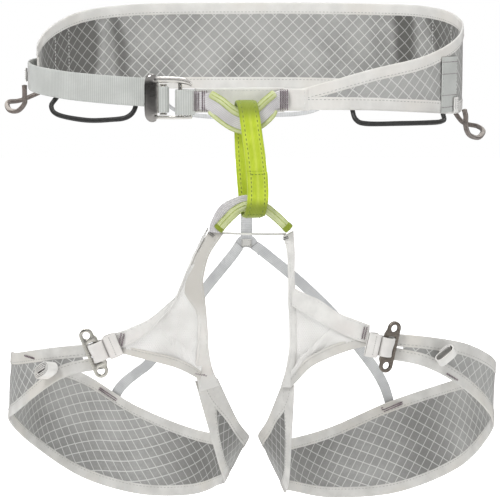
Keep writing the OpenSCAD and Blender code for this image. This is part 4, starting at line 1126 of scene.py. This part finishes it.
for side, at, lean, turned_by, mirror, material in (("left", (-117.5, -98.4, -189.5), -22, 0, 1, BRIGHT),
                                                    ("right", (105, -102, -184), 12, 25, -1, DARK)):
    m = Matrix.Translation(at) @ turn("Y", lean) @ turn("Z", turned_by) @ Matrix.Diagonal((mirror, 1, 1, 1))
    node = "leg_buckle_" + side
    verts, faces = buckle_shape()
    make(node, centred(moved(verts, m @ turn("X", 90)), node), faces, material, np.zeros((len(verts), 2)))
    across = moved([[0, 0, 1]], m)[0] - np.array(m.translation)
    fold = Band(*ribbon(moved([[x, y, 0] for x, y in FOLD], m), across,
                        lambda u: 18.0 - 3.4 * smoothstep(0.16, 0.25, np.minimum(u, 1 - u))), 1.1,
                from_axis(np.array(m @ Vector((8, 0, 0))), 1), relief=tape_relief(), wave=lambda s, w, p: (
                    0.3 * np.sin(w / 2.1 + 0.4 * np.sin(s / 4)) * smoothstep(0, 5, np.minimum(s, 40 - s))))
    fold.make("leg_buckle_webbing_" + side, WHITE_TAPE, 0.8, 17)
    fold.sew_across(sewn[side + "_leg", "grey_stitching"], 0.9, 1.2, 16.3, 30, 1.6, 1.3, 0.24, 0.56)


# ---------------------------------------------------------------- rolled strap tails

def roll(turns, half, start, end, lean):
    """The middle line of a flat rolled strap, from the inside out."""
    phi = np.linspace(0, turns * 2 * math.pi, int(turns * 28) + 1)
    r = start + (end - start) * phi / phi[-1]
    x = r * np.cos(phi + lean) + half * np.tanh(2.6 * np.cos(phi + lean)) / math.tanh(2.6)
    return np.stack([x, r * np.sin(phi + lean), np.zeros_like(phi)], -1)


for side, at, long_way, hole_way, turns, half, r_start, r_step, wide in (
        ("left", (-154.5, -91, -204.5), (0.654, -0.537, 0.537), (-0.30, -0.85, 0.45), 3.3, 4.2, 0.75, 1.32, 9.5),
        ("right", (147.5, -95, -192), (0.74, 0.15, 0.60), (-0.42, -0.62, 0.52), 1.2, 4.6, 2.6, 1.0, 9.0)):
    a = unit(long_way)
    b = unit(np.array(hole_way) - a * np.dot(hole_way, a))
    m = np.eye(4)
    m[:3] = np.stack([a, np.cross(b, a), b, at], 1)
    middle = moved(roll(turns, half, r_start, r_start + r_step * turns, 0.4), m)
    Band(*ribbon(middle, b, wide), 1.15, from_axis(at, 1), relief=tape_relief()).make(
        "leg_strap_keeper_" + side, KEEPER, 0.8, 13)


# ---------------------------------------------------------------- tacks and stitching

tacks("leg_bar_tacks_left",
      ([-96.5, -97.4, -179], 4.4, 10, dict(angle=12, depth=3.6, columns=2, r=0.3)),
      ([-38, -86.5, -208], 10, 1.8, dict(angle=15, depth=5.0, turned_by=20)),
      ([-168.5, -67, -198.4], 12, 2.4, dict(angle=4, depth=3.4, turned_by=-42, r=0.3)),
      ([-120, 79.4, -259.4], 18, 3.2, dict(angle=32, depth=6.4, turned_by=-12, columns=2, r=0.42)))
tacks("leg_bar_tacks_right",
      ([85.8, -98.8, -173.6], 3.6, 9.6, dict(angle=12, depth=3.8, columns=2, r=0.3)),
      ([153, -83, -210.5], 12, 2.4, dict(angle=31, depth=4.2, turned_by=24, r=0.3)),
      ([121, 79.4, -270.2], 18, 3.2, dict(angle=-20, depth=6.4, turned_by=12, columns=2, r=0.42)))
tack(sewn["left_leg", "black_stitching"], [-28.6, -117.4, -96.6], 5.4, 2.6, 38, 2.0, columns=2, r=0.3, skins=(-1,))
tack(sewn["right_leg", "black_stitching"], [26.0, -117.2, -99.6], 4.6, 2.4, -20, 2.4, columns=2, r=0.3, skins=(-1,))
for (body, kind), pile in sewn.items():
    material, slot = SEWING[kind]
    pile.make(f"{body}_{kind}", material, (body, slot))


# ---------------------------------------------------------------- scene

def area_light(name, at, target, size, power):
    data = bpy.data.lights.new(name, "AREA")
    data.shape, data.size, data.energy = "DISK", size, power
    obj = bpy.data.objects.new(name, data)
    obj.location = at
    obj.rotation_euler = (Vector(target) - Vector(at)).to_track_quat("-Z", "Y").to_euler()
    scene.collection.objects.link(obj)


scene = bpy.context.scene
scene.view_settings.view_transform, scene.view_settings.look = "Standard", "None"

# The floor glows a little more to the camera than to the object, so that it stays pale.
floor_mesh = bpy.data.meshes.new("floor")
floor_mesh.from_pydata([(-6, -6, -0.6), (6, -6, -0.6), (6, 6, -0.6), (-6, 6, -0.6)], [], [(0, 1, 2, 3)])
floor = bpy.data.objects.new("floor", floor_mesh)
scene.collection.objects.link(floor)
look = Shader("floor", roughness=0.9)
look.colour(look.mix(look.patches(2, 2, 0.2, 0.8), (0.90, 0.90, 0.90, 1), (0.93, 0.93, 0.93, 1)))
look.put((1, 1, 1, 1), look.bsdf.inputs["Emission Color"])
seen = look.node("ShaderNodeLightPath").outputs["Is Camera Ray"]
look.put(look.math("MULTIPLY_ADD", seen, 0.68, 0.32), look.bsdf.inputs["Emission Strength"])
floor_mesh.materials.append(look.material)

# The camera sees white, cloth sees a soft grey sky, and metal sees bright and dark bands.
scene.world = bpy.data.worlds.new("studio")
scene.world.use_nodes = True
tree = scene.world.node_tree
tree.nodes.clear()
white, sky, studio, output, path, coord, split, rise, bands, by_gloss, by_camera = (
    tree.nodes.new("ShaderNode" + kind) for kind in (
        "Background", "Background", "Background", "OutputWorld", "LightPath", "TexCoord", "SeparateXYZ", "MapRange",
        "ValToRGB", "MixShader", "MixShader"))
for node, strength in ((white, 1.0), (sky, 0.47), (studio, 0.85)):
    node.inputs["Color"].default_value, node.inputs["Strength"].default_value = (1, 1, 1, 1), strength
rise.inputs["From Min"].default_value, rise.inputs["From Max"].default_value = -1, 1
for k, (where, level) in enumerate(((0.0, 0.55), (0.40, 0.45), (0.47, 0.04), (0.53, 0.06), (0.60, 1.0), (1.0, 0.85))):
    element = bands.color_ramp.elements[k] if k < 2 else bands.color_ramp.elements.new(where)
    element.position, element.color = where, (level, level, level, 1)
for start, end in ((coord.outputs["Generated"], split.inputs[0]), (split.outputs[2], rise.inputs[0]),
                   (rise.outputs[0], bands.inputs[0]), (bands.outputs[0], studio.inputs["Color"]),
                   (path.outputs["Is Glossy Ray"], by_gloss.inputs[0]), (sky.outputs[0], by_gloss.inputs[1]),
                   (studio.outputs[0], by_gloss.inputs[2]), (path.outputs["Is Camera Ray"], by_camera.inputs[0]),
                   (by_gloss.outputs[0], by_camera.inputs[1]), (white.outputs[0], by_camera.inputs[2]),
                   (by_camera.outputs[0], output.inputs["Surface"])):
    tree.links.new(start, end)

area_light("key", (-0.8, -1.3, 1.6), (0, 0, -0.12), 0.7, 25)
area_light("fill", (1.6, -1.2, 0.5), (0, 0, -0.15), 1.2, 5)
area_light("top", (0.1, 0.25, 1.7), (0, 0, -0.1), 0.9, 12)

camera_data = bpy.data.cameras.new("camera")
camera_data.sensor_width, camera_data.lens = 36, 135.2
camera = bpy.data.objects.new("camera", camera_data)
camera.location, camera.rotation_euler = (0, -1.4854, 0.0838), (math.radians(82), 0, 0)
scene.collection.objects.link(camera)
scene.camera = camera
